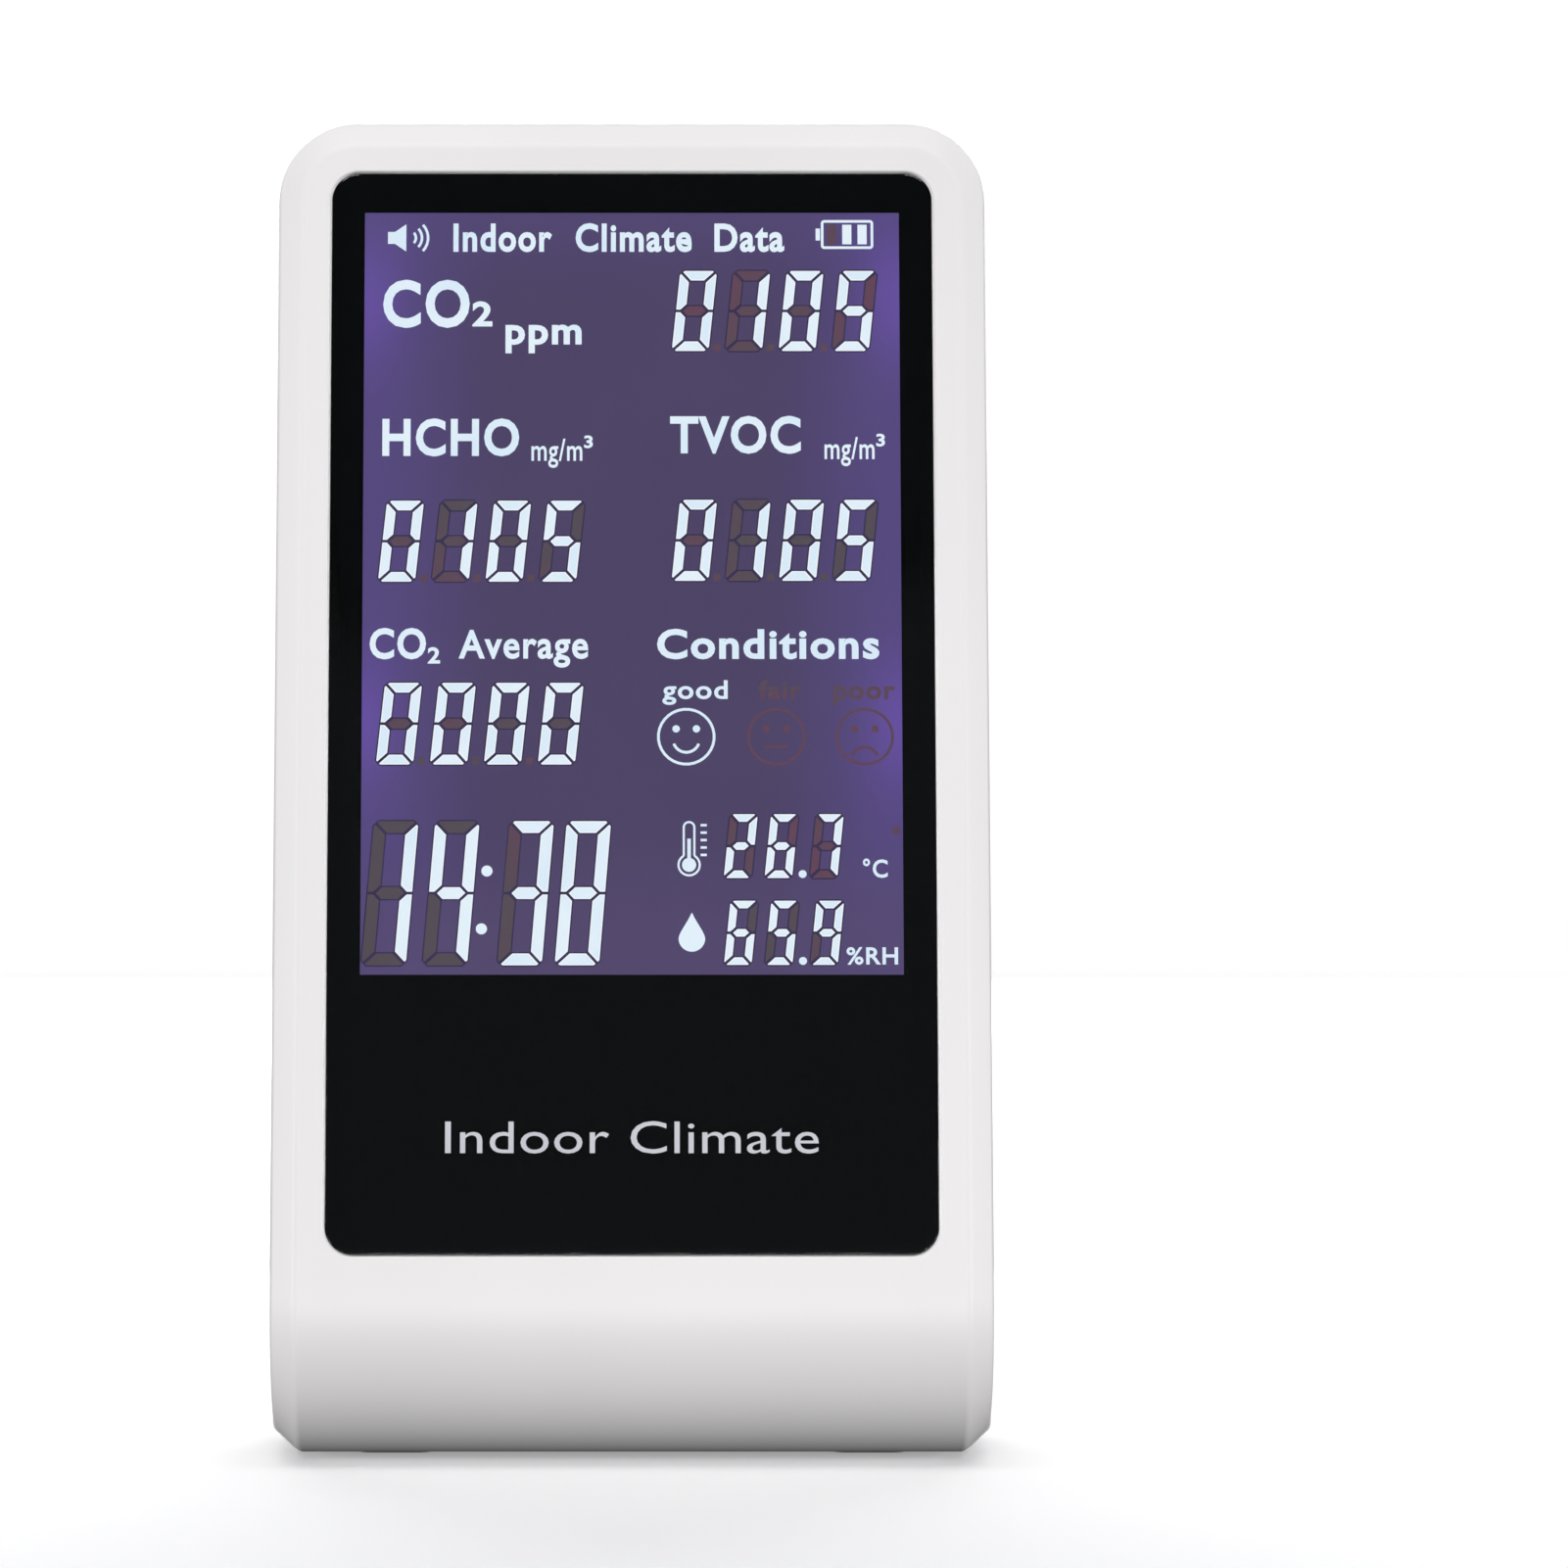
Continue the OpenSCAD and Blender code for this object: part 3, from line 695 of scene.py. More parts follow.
@dataclass(frozen=True)
class Metal:
    """Plated or bare metal with fine brush marks and a little tarnish."""

    name: str
    colour: tuple[float, float, float, float]
    roughness: float = 0.28
    stretch: tuple[float, float, float] = (1, 1, 12)

    def material(self) -> bpy.types.Material:
        """Builds the material.

        Returns:
            The finished material.
        """
        recipe = Recipe(self.name)
        brush = recipe.noise(900.0, 3.0, 0.6, self.stretch)
        tarnish = recipe.noise(140.0, 4.0).between(0.4, 0.75)
        dull = tuple(value * 0.78 for value in self.colour[:3]) + (1.0,)
        return recipe.finish(
            Base_Color=recipe.mix(0.5 * tarnish, self.colour, dull), Metallic=1.0,
            Roughness=self.roughness - 0.05 + 0.1 * brush + 0.08 * tarnish,
            Normal=recipe.bump(brush, 0.000004))


@dataclass(frozen=True)
class SolderMask:
    """Green circuit board with traces and pads under its lacquer."""

    name: str
    lean: float

    def material(self) -> bpy.types.Material:
        """Builds the material.

        Returns:
            The finished material.
        """
        recipe = Recipe(self.name)
        across, up = recipe.face_terms(self.lean)
        weave = recipe.noise(160.0, 2.0)
        lane = (across * 2.6 + 3.0 * weave).sine().over(0.72)
        cross = (up * 2.1 + 3.0 * weave).sine().over(0.82)
        trace = (lane + cross).between(0.2, 0.8)
        colour = recipe.mix(trace, srgb(18, 84, 44), srgb(48, 128, 70))
        return recipe.finish(
            Base_Color=colour, Roughness=0.3 + 0.1 * weave, Normal=recipe.bump(trace, 0.00003),
            Coat_Weight=0.3)


@dataclass(frozen=True)
class Foil:
    """Laminate foil of the cell, with soft creases that are painted darker in their hollows as
    shade.
    """

    name: str

    def material(self) -> bpy.types.Material:
        """Builds the material.

        Returns:
            The finished material.
        """
        recipe = Recipe(self.name)
        fold_and_shade = recipe.noise(120.0, 4.0, 0.45)
        return recipe.finish(
            # Painted shade: the colour darkens where the fold height is low, in the creases.
            Base_Color=recipe.mix(fold_and_shade, srgb(150, 153, 158), srgb(190, 193, 198)),
            Metallic=0.85, Roughness=0.34 + 0.12 * fold_and_shade, Normal=recipe.bump(fold_and_shade, 0.00012))


@dataclass(frozen=True)
class WovenMesh:
    """Fine woven dust screen."""

    name: str
    pitch: float = 0.00055

    def material(self) -> bpy.types.Material:
        """Builds the material.

        Returns:
            The finished material.
        """
        recipe = Recipe(self.name)
        split = recipe.node("ShaderNodeSeparateXYZ", Vector=recipe.place())
        turn = math.tau / self.pitch
        warp = (Term(recipe, split.outputs["X"]) * turn).sine().absolute()
        weft = (Term(recipe, split.outputs["Z"]) * turn).sine().absolute()
        wire = (warp + weft).between(0.5, 1.3)
        return recipe.finish(
            Base_Color=recipe.mix(wire, srgb(14, 14, 16), srgb(92, 94, 98)),
            Roughness=0.55 + 0.2 * (1 - wire), Normal=recipe.bump(wire, 0.0001))


@dataclass(frozen=True)
class GlowingPanel:
    """Violet liquid crystal panel over edge lamps that glow at its left and right edges."""

    name: str
    lean: float
    half_width: float
    foot: float
    height: float

    def material(self) -> bpy.types.Material:
        """Builds the material.

        Returns:
            The finished material.
        """
        recipe = Recipe(self.name)
        across, up = recipe.face_terms(self.lean)
        share = (up - self.foot) / self.height
        side = across.absolute() / self.half_width
        rim = side.between(0.45, 1.0)
        colour = recipe.mix(rim, srgb(76, 66, 101), srgb(86, 72, 128))
        low = 1 - share.between(0.0, 0.16)
        colour = recipe.mix(0.7 * low, colour, srgb(86, 74, 112))
        top = share.between(0.82, 1.0)
        colour = recipe.mix(0.55 * top, colour, srgb(88, 75, 128))
        spots = None
        for place in (0.28, 0.84):
            far_up = (share - place) * (self.height / 7.5)
            far_in = (1 - side) * (self.half_width / 4.0)
            spot = (0 - far_up * far_up - far_in * far_in).exp()
            spots = spot if spots is None else spots + spot
        colour = recipe.mix(0.8 * spots, colour, srgb(106, 82, 168))
        cloud = recipe.noise(70.0, 2.0).between(0.3, 0.8)
        colour = recipe.mix(0.12 * cloud, colour, srgb(94, 86, 116))
        return recipe.finish(
            Base_Color=srgb(12, 10, 16), Emission_Color=colour, Emission_Strength=1.0,
            Roughness=0.34 + 0.06 * cloud, Specular_IOR_Level=0.0)


@dataclass(frozen=True)
class GlowingInk:
    """Glowing ink: a lit or unlit part of the display, the lamp phosphor, or print that glows as
    painted light; with a faint change of tint.
    """

    name: str
    colour: tuple[float, float, float, float]
    other: tuple[float, float, float, float]
    scale: float = 90.0

    def material(self) -> bpy.types.Material:
        """Builds the material.

        Returns:
            The finished material.
        """
        recipe = Recipe(self.name)
        tint = recipe.noise(self.scale, 1.0).between(0.38, 0.62)
        return recipe.finish(
            Base_Color=(0.01, 0.01, 0.012, 1.0), Emission_Strength=1.0, Specular_IOR_Level=0.0,
            Emission_Color=recipe.mix(tint, self.colour, self.other), Roughness=0.4 + 0.1 * tint)


# ---------------------------------------------------------------- housing


@dataclass
class Housing:
    """The two moulded shells and what shows at the back of the rear one."""

    body: Body
    shop: Workshop
    slot_size: tuple[float, float] = (36.0, 2.0)
    slot_count: int = 8
    slot_pitch: float = 4.0
    slot_z: float = 44.0
    dish: Ring = Ring(39.4, 11.4, 5.6)
    dish_depth: float = 0.8
    button_hole: float = 8.0
    head_hole: float = 4.5
    shank_hole: float = 2.7
    tube: float = 4.8
    shoulder: float = 4.0
    port: Ring = Ring(9.44, 3.76, 1.87)
    head_r: float = 2.0
    low_screw_inset: float = 9.5
    tube_ends: tuple[float, float] = (9.0, -2.0)
    slot_corner: float = 0.9
    mouth_r: float = 0.3
    inner_corner: float = 6.8
    inner_band: float = 1.2
    inner_edge_r: float = 0.6
    rear_band: float = 2.6
    front_softness: float = 0.42
    rear_softness: float = 0.4
    foot_width: float = 9.0
    rib_pitch: float = 1.9
    opening: float = 0.5
    tape: float = 0.2
    panel_side: float = 0.8
    panel_foot: float = 3.5

    def _skin(self, corners: Sequence[tuple[float, float]], side: float, roll: float) -> BMesh:
        """Sweeps a side view across the body.

        Args:
            corners: Corners of the side view as y and z, after the foot of the roll.
            side: Half of the width.
            roll: Radius of the rolled lower edge, or nought for none.

        Returns:
            A closed prism.
        """
        bm = bmesh.new()
        body = self.body
        row = []
        if roll:
            row.append(bm.verts.new((-side, body.roll_y, body.roll_z - roll)))
            bmesh.ops.spin(bm, geom=row[:], cent=(-side, body.roll_y, body.roll_z), axis=(1, 0, 0),
                           angle=-(QUARTER + body.lean), steps=24, use_merge=False)
            row = list(bm.verts)
        row += [bm.verts.new((-side, y, z)) for y, z in corners]
        face = bm.faces.new(row)
        swept = bmesh.ops.extrude_face_region(bm, geom=[face], use_keep_orig=True)
        moved = [item for item in swept["geom"] if isinstance(item, bmesh.types.BMVert)]
        bmesh.ops.translate(bm, vec=(2 * side, 0, 0), verts=moved)
        bmesh.ops.remove_doubles(bm, verts=bm.verts, dist=0.0005)
        bmesh.ops.recalc_face_normals(bm, faces=bm.faces)
        return bm

    @staticmethod
    def _round(bm: BMesh, edges: Sequence[BMEdge], offset: float, segments: int) -> None:
        """Bevels edges with a round profile and refreshes the normals.

        Args:
            bm: The mesh.
            edges: The edges to round.
            offset: Width of the bevel on each face.
            segments: Number of strips.
        """
        bmesh.ops.bevel(bm, geom=list(edges), offset=offset, offset_type="OFFSET",
                        segments=segments, profile=0.5, affect="EDGES", clamp_overlap=False,
                        material=-1, miter_outer="SHARP", miter_inner="SHARP")
        bm.normal_update()

    def _round_top(self, bm: BMesh, side: float, top: float, radius: float) -> None:
        """Rounds the two top corners of a skin, seen from the front."""
        self._round(bm, self._side_edges(bm, side, top), radius, 18)

    @staticmethod
    def _side_edges(bm: BMesh, side: float, z: float) -> list[BMEdge]:
        """Edges that run from front to back at both sides, at one height.

        Args:
            bm: The mesh.
            side: Half of its width.
            z: The height.

        Returns:
            The edges found.
        """
        return [edge for edge in bm.edges
                if abs(edge.verts[0].co.x - edge.verts[1].co.x) < 0.01
                and all(abs(v.co.z - z) < 0.01 and abs(v.co.x) > side - 0.01 for v in edge.verts)]

    def _take_out_parting(self, bm: BMesh) -> None:
        """Opens a skin along the parting line between the shells.

        Args:
            bm: The skin.
        """
        low = self.body.base_z - 0.01
        parting = []
        for face in bm.faces:
            spots = [v.co for v in face.verts]
            on_line = all(abs(p.y - self.body.parting_y(p.z)) < 0.02 for p in spots)
            if on_line and min(p.z for p in spots) > low:
                parting.append(face)
        bmesh.ops.delete(bm, geom=parting, context="FACES_ONLY")

    def _join_skins(self, outer: BMesh, inner: BMesh, rim_edge: float, rim_foot: float) -> BMesh:
        """Joins an outer and an inner skin along the parting line.

        Args:
            outer: The outer skin.
            inner: The inner skin.
            rim_edge: Radius of the outer edge of the rim.
            rim_foot: Height above which that edge is rounded.

        Returns:
            One mesh of both, with a rim.
        """
        for skin in (outer, inner):
            self._take_out_parting(skin)
        outer_count = len(outer.verts)
        absorb(outer, inner)
        outer.verts.ensure_lookup_table()
        outer.verts.index_update()
        gaps = [edge for edge in outer.edges if len(edge.link_faces) == 1]
        rim = set(bmesh.ops.bridge_loops(outer, edges=gaps)["faces"])
        bmesh.ops.recalc_face_normals(outer, faces=outer.faces)
        outer.normal_update()
        outside = [edge for edge in gaps if all(v.index < outer_count for v in edge.verts)]
        outside = [edge for edge in outside if any(face in rim for face in edge.link_faces)
                   and min(v.co.z for v in edge.verts) > rim_foot]
        self._round(outer, outside, rim_edge, 2)
        return outer

    def pocket(self) -> tuple[Ring, float]:
        """Outline of the pocket that the lens lies in, and its middle up the face.

        Returns:
            The outline and the place of its middle.
        """
        foot, top = self.body.up_face("display_lens")
        low, high = box_mm("display_lens")
        gap = 2 * self.body.lens_gap
        return Ring(high.x - low.x + gap, top - foot + gap, self.body.lens_r), (foot + top) / 2

    def picture(self) -> tuple[Ring, float]:
        """Outline of the part of the panel that shows, and its middle up the face.

        Returns:
            The outline and the place of its middle.
        """
        foot, top = self.body.up_face("lcd_panel")
        low, high = box_mm("lcd_panel")
        foot, top = foot + self.panel_foot, top - self.panel_side
        return Ring(high.x - low.x - 2 * self.panel_side, top - foot, 0.3), (foot + top) / 2

    def front_shell(self, paint: bpy.types.Material) -> None:
        """Builds the front shell.

        Args:
            paint: Its finish.
        """
        body = self.body
        skins = []
        for side, top, deep, corner, band in (
            (body.width / 2 - body.rim, body.height - body.rim, 0.0, body.corner_r - body.rim,
             body.band),
            (body.width / 2 - body.wall, body.height - body.wall, body.face_wall,
             self.inner_corner, self.inner_band),
        ):
            base = body.base_z + deep
            face_top = body.face_y(top) + deep / math.cos(body.lean)
            corners = [(face_top, top), (body.parting_y(top), top),
                       (body.parting_y(body.knee_z), body.knee_z), (body.parting_y(base), base)]
            bm = self._skin(corners, side, body.roll_r - deep)
            self._round_top(bm, side, top, corner)
            self._round(bm, self._front_edges(bm), band, 1)
            if not deep:
                soft = [edge for edge in bm.edges
                        if 30 < crease(edge) < 60 and self._in_front(edge)]
                self._round(bm, soft, self.front_softness, 3)
            skins.append(bm)
        bm = self._join_skins(*skins, rim_edge=0.25, rim_foot=body.knee_z - 1)
        (lens, lens_u), (picture, picture_u) = self.pocket(), self.picture()
        floor = -(body.recess + body.lens_t + self.tape)
        window = [grown(picture, self.opening, out) for out in (floor, -body.face_wall)]
        near, far = loft(bm, mouth(lens, self.mouth_r) + [grown(lens, 0, floor)],
                         body.face.at(0, lens_u))
        lower, end = loft(bm, window, body.face.at(0, picture_u))
        out = body.face.at().to_3x3() @ Vector((0, 0, 1))
        bmesh.ops.triangle_fill(bm, edges=open_loop(bm, out) + near, use_beauty=True)
        bmesh.ops.bridge_loops(bm, edges=far + lower)
        bmesh.ops.triangle_fill(bm, edges=open_loop(bm, -out) + end, use_beauty=True)
        self.shop.piece("front_shell_moulding", bm, "housing", "white_shell", [paint],
                        ["front_shell"])

    def _in_front(self, edge: BMEdge) -> bool:
        """Whether an edge lies clear in front of the parting line."""
        return all(v.co.y < self.body.parting_y(v.co.z) + 0.01 for v in edge.verts) and any(
            v.co.y < self.body.parting_y(v.co.z) - 0.05 for v in edge.verts)

    @staticmethod
    def _front_edges(bm: BMesh) -> list[BMEdge]:
        """Edges where the face, the roll and the underside meet the sides and the top.

        Args:
            bm: The skin.

        Returns:
            The edges found.
        """
        def outer(face: bmesh.types.BMFace) -> bool:
            """Whether a face belongs to the sides or the top."""
            return abs(face.normal.y) < 0.01 and (abs(face.normal.x) > 0.01 or face.normal.z > 0.5)

        def front(face: bmesh.types.BMFace) -> bool:
            """Whether a face belongs to the face, the roll or the underside."""
            return abs(face.normal.x) < 0.01 and (face.normal.y < -0.01 or face.normal.z < -0.99)

        picked = []
        for edge in bm.edges:
            faces = edge.link_faces
            if len(faces) == 2 and any(map(outer, faces)) and any(map(front, faces)):
                picked.append(edge)
        return picked

    def _screws(self) -> list[tuple[float, float, float]]:
        """The case screws as x, z and the depth at which their tube ends.

        Returns:
            One entry for each screw.
        """
        low, high = box_mm("case_screws")
        wide, narrow = high.x - self.head_r, self.body.width / 2 - self.low_screw_inset
        upper_end, lower_end = self.tube_ends
        rows = ((wide, high.z - self.head_r, upper_end), (narrow, low.z + self.head_r, lower_end))
        return [(side * x, z, end) for x, z, end in rows for side in (-1, 1)]

    def rear_shell(self, paint: bpy.types.Material) -> None:
        """Builds the rear shell with its slots, dish, screw tubes and port.

        Args:
            paint: Its finish.
        """
        body = self.body
        caps = [box_mm(f"{stem}_button") for stem in ("power", "mode", "alarm")]
        button_x = [(low.x + high.x) / 2 for low, high in caps]
        button_z = (caps[0][0].z + caps[0][1].z) / 2
        port_z = sum(corner.z for corner in box_mm("usb_socket")) / 2
        skins = []
        for inset, deep, corner, edge_r, band in (
            (0.0, 0.0, body.corner_r, body.rear_edge_r, self.rear_band),
            (body.wall, body.face_wall, self.inner_corner, self.inner_edge_r, self.inner_band),
        ):
            side, top, rear = body.width / 2 - inset, body.height - inset, body.rear_y - inset
            base = body.base_z + deep
            corners = [(rear, base), (rear, top), (body.parting_y(top), top),
                       (body.parting_y(body.knee_z), body.knee_z), (body.parting_y(base), base)]
            bm = self._skin(corners, side, 0.0)
            self._round_top(bm, side, top, corner)
            self._round(bm, self._side_edges(bm, side, base), band, 1)
            rim = [edge for edge in bm.edges if crease(edge) > 60
                   and all(abs(v.co.y - rear) < 0.01 for v in edge.verts)]
            self._round(bm, rim, edge_r, 8)
            if not inset:
                soft = [edge for edge in bm.edges if 30 < crease(edge) < 60
                        and all(v.co.z < base + 2 * band for v in edge.verts)
                        and all(v.co.y > body.parting_y(v.co.z) - 0.01 for v in edge.verts)]
                self._round(bm, soft, self.rear_softness, 2)
            skins.append(bm)
        bm = self._join_skins(*skins, rim_edge=0.3, rim_foot=0.0)
        slot = Ring(*self.slot_size, self.slot_corner)
        stacks = []
        for row in range(self.slot_count):
            z = self.slot_z + (row - (self.slot_count - 1) / 2) * self.slot_pitch
            stacks.append((body.back.at(0, z), self._through(slot)))
        stacks.append((body.back.at(0, port_z), self._through(self.port)))
        for x, z, end in self._screws():
            seat, tip = end + self.shoulder - body.rear_y, end - body.rear_y
            rings = mouth(disc(self.head_hole), self.mouth_r / 2) + [
                disc(self.head_hole, seat), disc(self.shank_hole, seat), disc(self.shank_hole, tip),
                disc(self.tube, tip), disc(self.tube, -body.wall)]
            stacks.append((body.back.at(-x, z), rings))
        self._dished_wall(bm, stacks, button_x, button_z)
        self.shop.piece("rear_shell_moulding", bm, "housing", "white_shell", [paint],
                        ["rear_shell"])

    def _through(self, hole: Ring) -> list[Ring]:
        """Rings of a hole through the back wall, with a rounded mouth."""
        return mouth(hole, self.mouth_r) + [grown(hole, 0, -self.body.wall)]

    def _dished_wall(self, bm: BMesh, stacks: list[tuple[Matrix, list[Ring]]],
                     button_x: Sequence[float], button_z: float) -> None:
        """Cuts the holes of the back, and the dish with the button holes in its floor.

        Args:
            bm: The joined skins.
            stacks: The other holes.
            button_x: Places of the buttons across.
            button_z: Height of the buttons.
        """
        back = self.body.back
        outer, inner = open_loop(bm, Vector((0, 1, 0))), open_loop(bm, Vector((0, -1, 0)))
        for place, rings in stacks:
            first, last = loft(bm, rings, place)
            outer += first
            inner += last
        rim, floor = loft(bm, mouth(self.dish, 0.4) + [grown(self.dish, -0.15, -self.dish_depth)],
                          back.at(0, button_z))
        outer += rim
        for x in button_x:
            hole = disc(self.button_hole, -self.dish_depth)
            first, last = loft(bm, mouth(hole, 0.2) + [disc(self.button_hole, -self.body.wall)],
                               back.at(-x, button_z))
            floor += first
            inner += last
        for edges in (outer, floor, inner):
            bmesh.ops.triangle_fill(bm, edges=edges, use_beauty=True)

    def feet(self, paint: bpy.types.Material) -> None:
        """Builds the two rubber feet with their ribbed soles.

        Args:
            paint: Their finish.
        """
        low, high = box_mm("rubber_feet")
        width, thick = self.foot_width, high.z - low.z
        ground = Plane(Vector((0, 0, 0)), Vector((1, 0, 0)), Vector((0, -1, 0)))
        bm = bmesh.new()
        for side in (-1, 1):
            place = ground.at(side * (high.x - width / 2), -(low.y + high.y) / 2)
            plate(bm, Ring(width, high.y - low.y, 2.0, -thick), thick - 0.12, 0.3, place)
            for rib in range(-4, 5):
                shift = Matrix.Translation((0, rib * self.rib_pitch, 0))
                plate(bm, Ring(width - 2.4, 1.0, 0.4, -0.3), 0.3, 0.1, place @ shift)
        self.shop.piece("rubber_foot_pads", bm, "housing", "rubber", [paint], ["rubber_feet"])


# ---------------------------------------------------------------- studio


@dataclass
class Studio:
    """Camera, pale floor and soft lamps."""

    distance: float = 0.8
    eye_z: float = 0.0762
    lens: float = 160.7
    shift: float = 0.097

    def build(self) -> None:
        """Sets the camera, the floor, the lamps and the dim surroundings."""
        scene = bpy.context.scene
        camera = bpy.data.cameras.new("camera")
        camera.sensor_width, camera.lens, camera.shift_x = 36.0, self.lens, self.shift
        camera.clip_start = 0.01
        holder = bpy.data.objects.new("camera", camera)
        holder.location = (0, -self.distance, self.eye_z)
        holder.rotation_euler = (QUARTER, 0, 0)
        scene.collection.objects.link(holder)
        scene.camera = holder
        scene.view_settings.view_transform = "Standard"
        scene.view_settings.look = "None"
        self._floor()
        target = Vector((0, 0, 0.075))
        for name, place, size, power in (
            ("front", (0.0, -2.0, 0.2), (2.6, 0.36), 28.0),
            ("left", (-1.5, -0.45, 0.2), (0.9, 0.36), 11.0),
            ("right", (1.5, -0.45, 0.2), (0.9, 0.36), 11.0),
            ("top", (0.0, 0.05, 1.7), (1.6, 1.2), 14.0),
            ("rear", (0.0, 1.7, 0.7), (1.8, 0.9), 26.0),
        ):
            self._lamp(name, Vector(place), size, power, target)
        world = bpy.data.worlds.new("surroundings")
        world.use_nodes = True
        world.node_tree.nodes["Background"].inputs["Color"].default_value = (1, 1, 1, 1)
        world.node_tree.nodes["Background"].inputs["Strength"].default_value = 0.05
        scene.world = world

    def _lamp(self, name: str, place: Vector, size: tuple[float, float], power: float,
              target: Vector) -> None:
        """Adds a rectangular soft lamp that looks at the monitor.

        Args:
            name: Name of the lamp.
            place: Where it hangs, in metres.
            size: Width and height in metres.
            power: Power in watts.
            target: What it looks at.
        """
        light = bpy.data.lights.new(name, "AREA")
        light.shape, light.size, light.size_y, light.energy = "RECTANGLE", *size, power
        holder = bpy.data.objects.new(name, light)
        holder.location = place
        holder.rotation_euler = (target - place).to_track_quat("-Z", "Y").to_euler()
        holder.visible_camera = False
        bpy.context.scene.collection.objects.link(holder)

    def _floor(self) -> None:
        """Spins a wide floor whose rim curves up into a round backdrop."""
        flat, bend = 2.6, 1.0
        bm = bmesh.new()
        start = bm.verts.new((0.02, 0, 0))
        edge = bm.verts.new((flat, 0, 0))
        bm.edges.new((start, edge))
        turned = bmesh.ops.spin(bm, geom=[edge], cent=(flat, 0, bend), axis=(0, 1, 0),
                                angle=-QUARTER, steps=12)
        last = [item for item in turned["geom_last"] if isinstance(item, bmesh.types.BMVert)][0]
        top = bm.verts.new(last.co + Vector((0, 0, 3)))
        bm.edges.new((last, top))
        bmesh.ops.spin(bm, geom=list(bm.verts) + list(bm.edges), cent=(0, 0, 0), axis=(0, 0, 1),
                       angle=math.tau, steps=64, use_merge=True)
        inner = [e for e in bm.edges if len(e.link_faces) == 1 and e.verts[0].co.length < 0.1]
        bmesh.ops.edgeloop_fill(bm, edges=inner)
        bmesh.ops.recalc_face_normals(bm, faces=bm.faces)
        mesh = bpy.data.meshes.new("floor")
        bm.to_mesh(mesh)
        bm.free()
        mesh.shade_smooth()
        recipe = Recipe("pale_paper")
        fibre = recipe.noise(420.0, 3.0)
        # Painted light: the floor glows, dim near the monitor and brighter towards its rim and the
        # backdrop.
        reach = recipe.node("ShaderNodeVectorMath", {"operation": "LENGTH"}, Vector=recipe.place())
        far = Term(recipe, reach.outputs["Value"]).between(0.3, 2.4)
        mesh.materials.append(recipe.finish(
            Base_Color=recipe.mix(fibre, srgb(232, 232, 233), srgb(238, 238, 239)), Roughness=0.9,
            Normal=recipe.bump(fibre, 0.00002), Emission_Strength=1.0,
            Emission_Color=recipe.mix(far, (0.28, 0.28, 0.285, 1.0), (0.9, 0.9, 0.905, 1.0))))
        floor = bpy.data.objects.new("floor", mesh)
        floor.visible_diffuse = False
        floor.visible_glossy = False
        floor.visible_transmission = False
        bpy.context.scene.collection.objects.link(floor)


# ---------------------------------------------------------------- display


class Glow(Enum):
    """How a part of the display shows."""

    LIT = "display_lit_parts"
    GHOST = "display_unlit_parts"


SEGMENTS = {
    "0": "abcdef", "1": "bc", "2": "abdeg", "3": "abcdg", "4": "bcfg", "5": "acdfg", "6": "acdefg",
    "7": "abc", "8": "abcdefg", "9": "abcdfg",
}


@dataclass(frozen=True)
class Digits:
    """A row of seven-segment digits at its lower left corner."""

    text: str
    x: float
    y: float
    height: float = 9.4
    width: float = 4.2
    pitch: float = 6.1
    stroke: float = 1.12
    slant: float = math.radians(6)


@dataclass(frozen=True)
class Label:
    """A word between two places across, on a baseline."""

    text: str
    left: float
    right: float
    baseline: float
    cap: float
    glow: Glow = Glow.LIT
    bold: float = 0.03


ROWS = (
    Digits("0105", 35.1, 72.2), Digits("0105", 1.7, 45.3), Digits("0105", 35.05, 45.4),
    Digits("0000", 1.6, 24.2),
    Digits("14", 0.1, 1.25, 16.45, 5.0, 6.9, 1.35, math.radians(4.7)),
    Digits("38", 15.4, 1.25, 16.45, 5.0, 6.45, 1.35, math.radians(4.7)),
    Digits("26", 40.9, 11.2, 7.3, 3.1, 4.6, 0.86), Digits("7", 50.6, 11.2, 7.3, 3.1, 4.6, 0.86),
    Digits("65", 40.9, 1.3, 7.3, 3.1, 4.6, 0.86), Digits("9", 50.6, 1.3, 7.3, 3.1, 4.6, 0.86),
)

LABELS = (
    Label("Indoor", 10.1, 21.4, 84.0, 3.2), Label("Climate", 24.1, 37.4, 84.0, 3.2),
    Label("Data", 40.0, 48.0, 84.0, 3.2),
    Label("CO", 2.1, 12.0, 75.2, 5.3), Label("2", 12.3, 14.6, 75.2, 2.8),
    Label("ppm", 16.1, 24.8, 73.1, 3.2),
    Label("HCHO", 2.1, 17.7, 60.1, 4.15), Label("mg/m", 19.1, 24.9, 59.4, 2.5, bold=0.012),
    Label("3", 25.1, 26.1, 60.9, 1.4),
    Label("TVOC", 34.9, 49.8, 60.4, 4.15), Label("mg/m", 52.5, 58.2, 59.6, 2.5, bold=0.012),
    Label("3", 58.4, 59.4, 61.1, 1.4),
    Label("CO", 0.8, 7.2, 36.5, 3.4), Label("2", 7.4, 8.8, 35.9, 1.8),
    Label("Average", 10.9, 25.6, 36.5, 3.2, bold=0.022), Label("Conditions", 33.4, 58.6, 36.5, 3.3),
    Label("good", 34.0, 41.4, 31.8, 2.1, bold=0.02),
    Label("fair", 44.9, 49.8, 31.8, 2.1, Glow.GHOST),
    Label("poor", 53.4, 60.4, 31.8, 2.1, Glow.GHOST),
    Label("°C", 56.6, 59.4, 11.3, 2.0, bold=0.02), Label("%RH", 54.7, 60.5, 1.4, 1.9, bold=0.02),
)


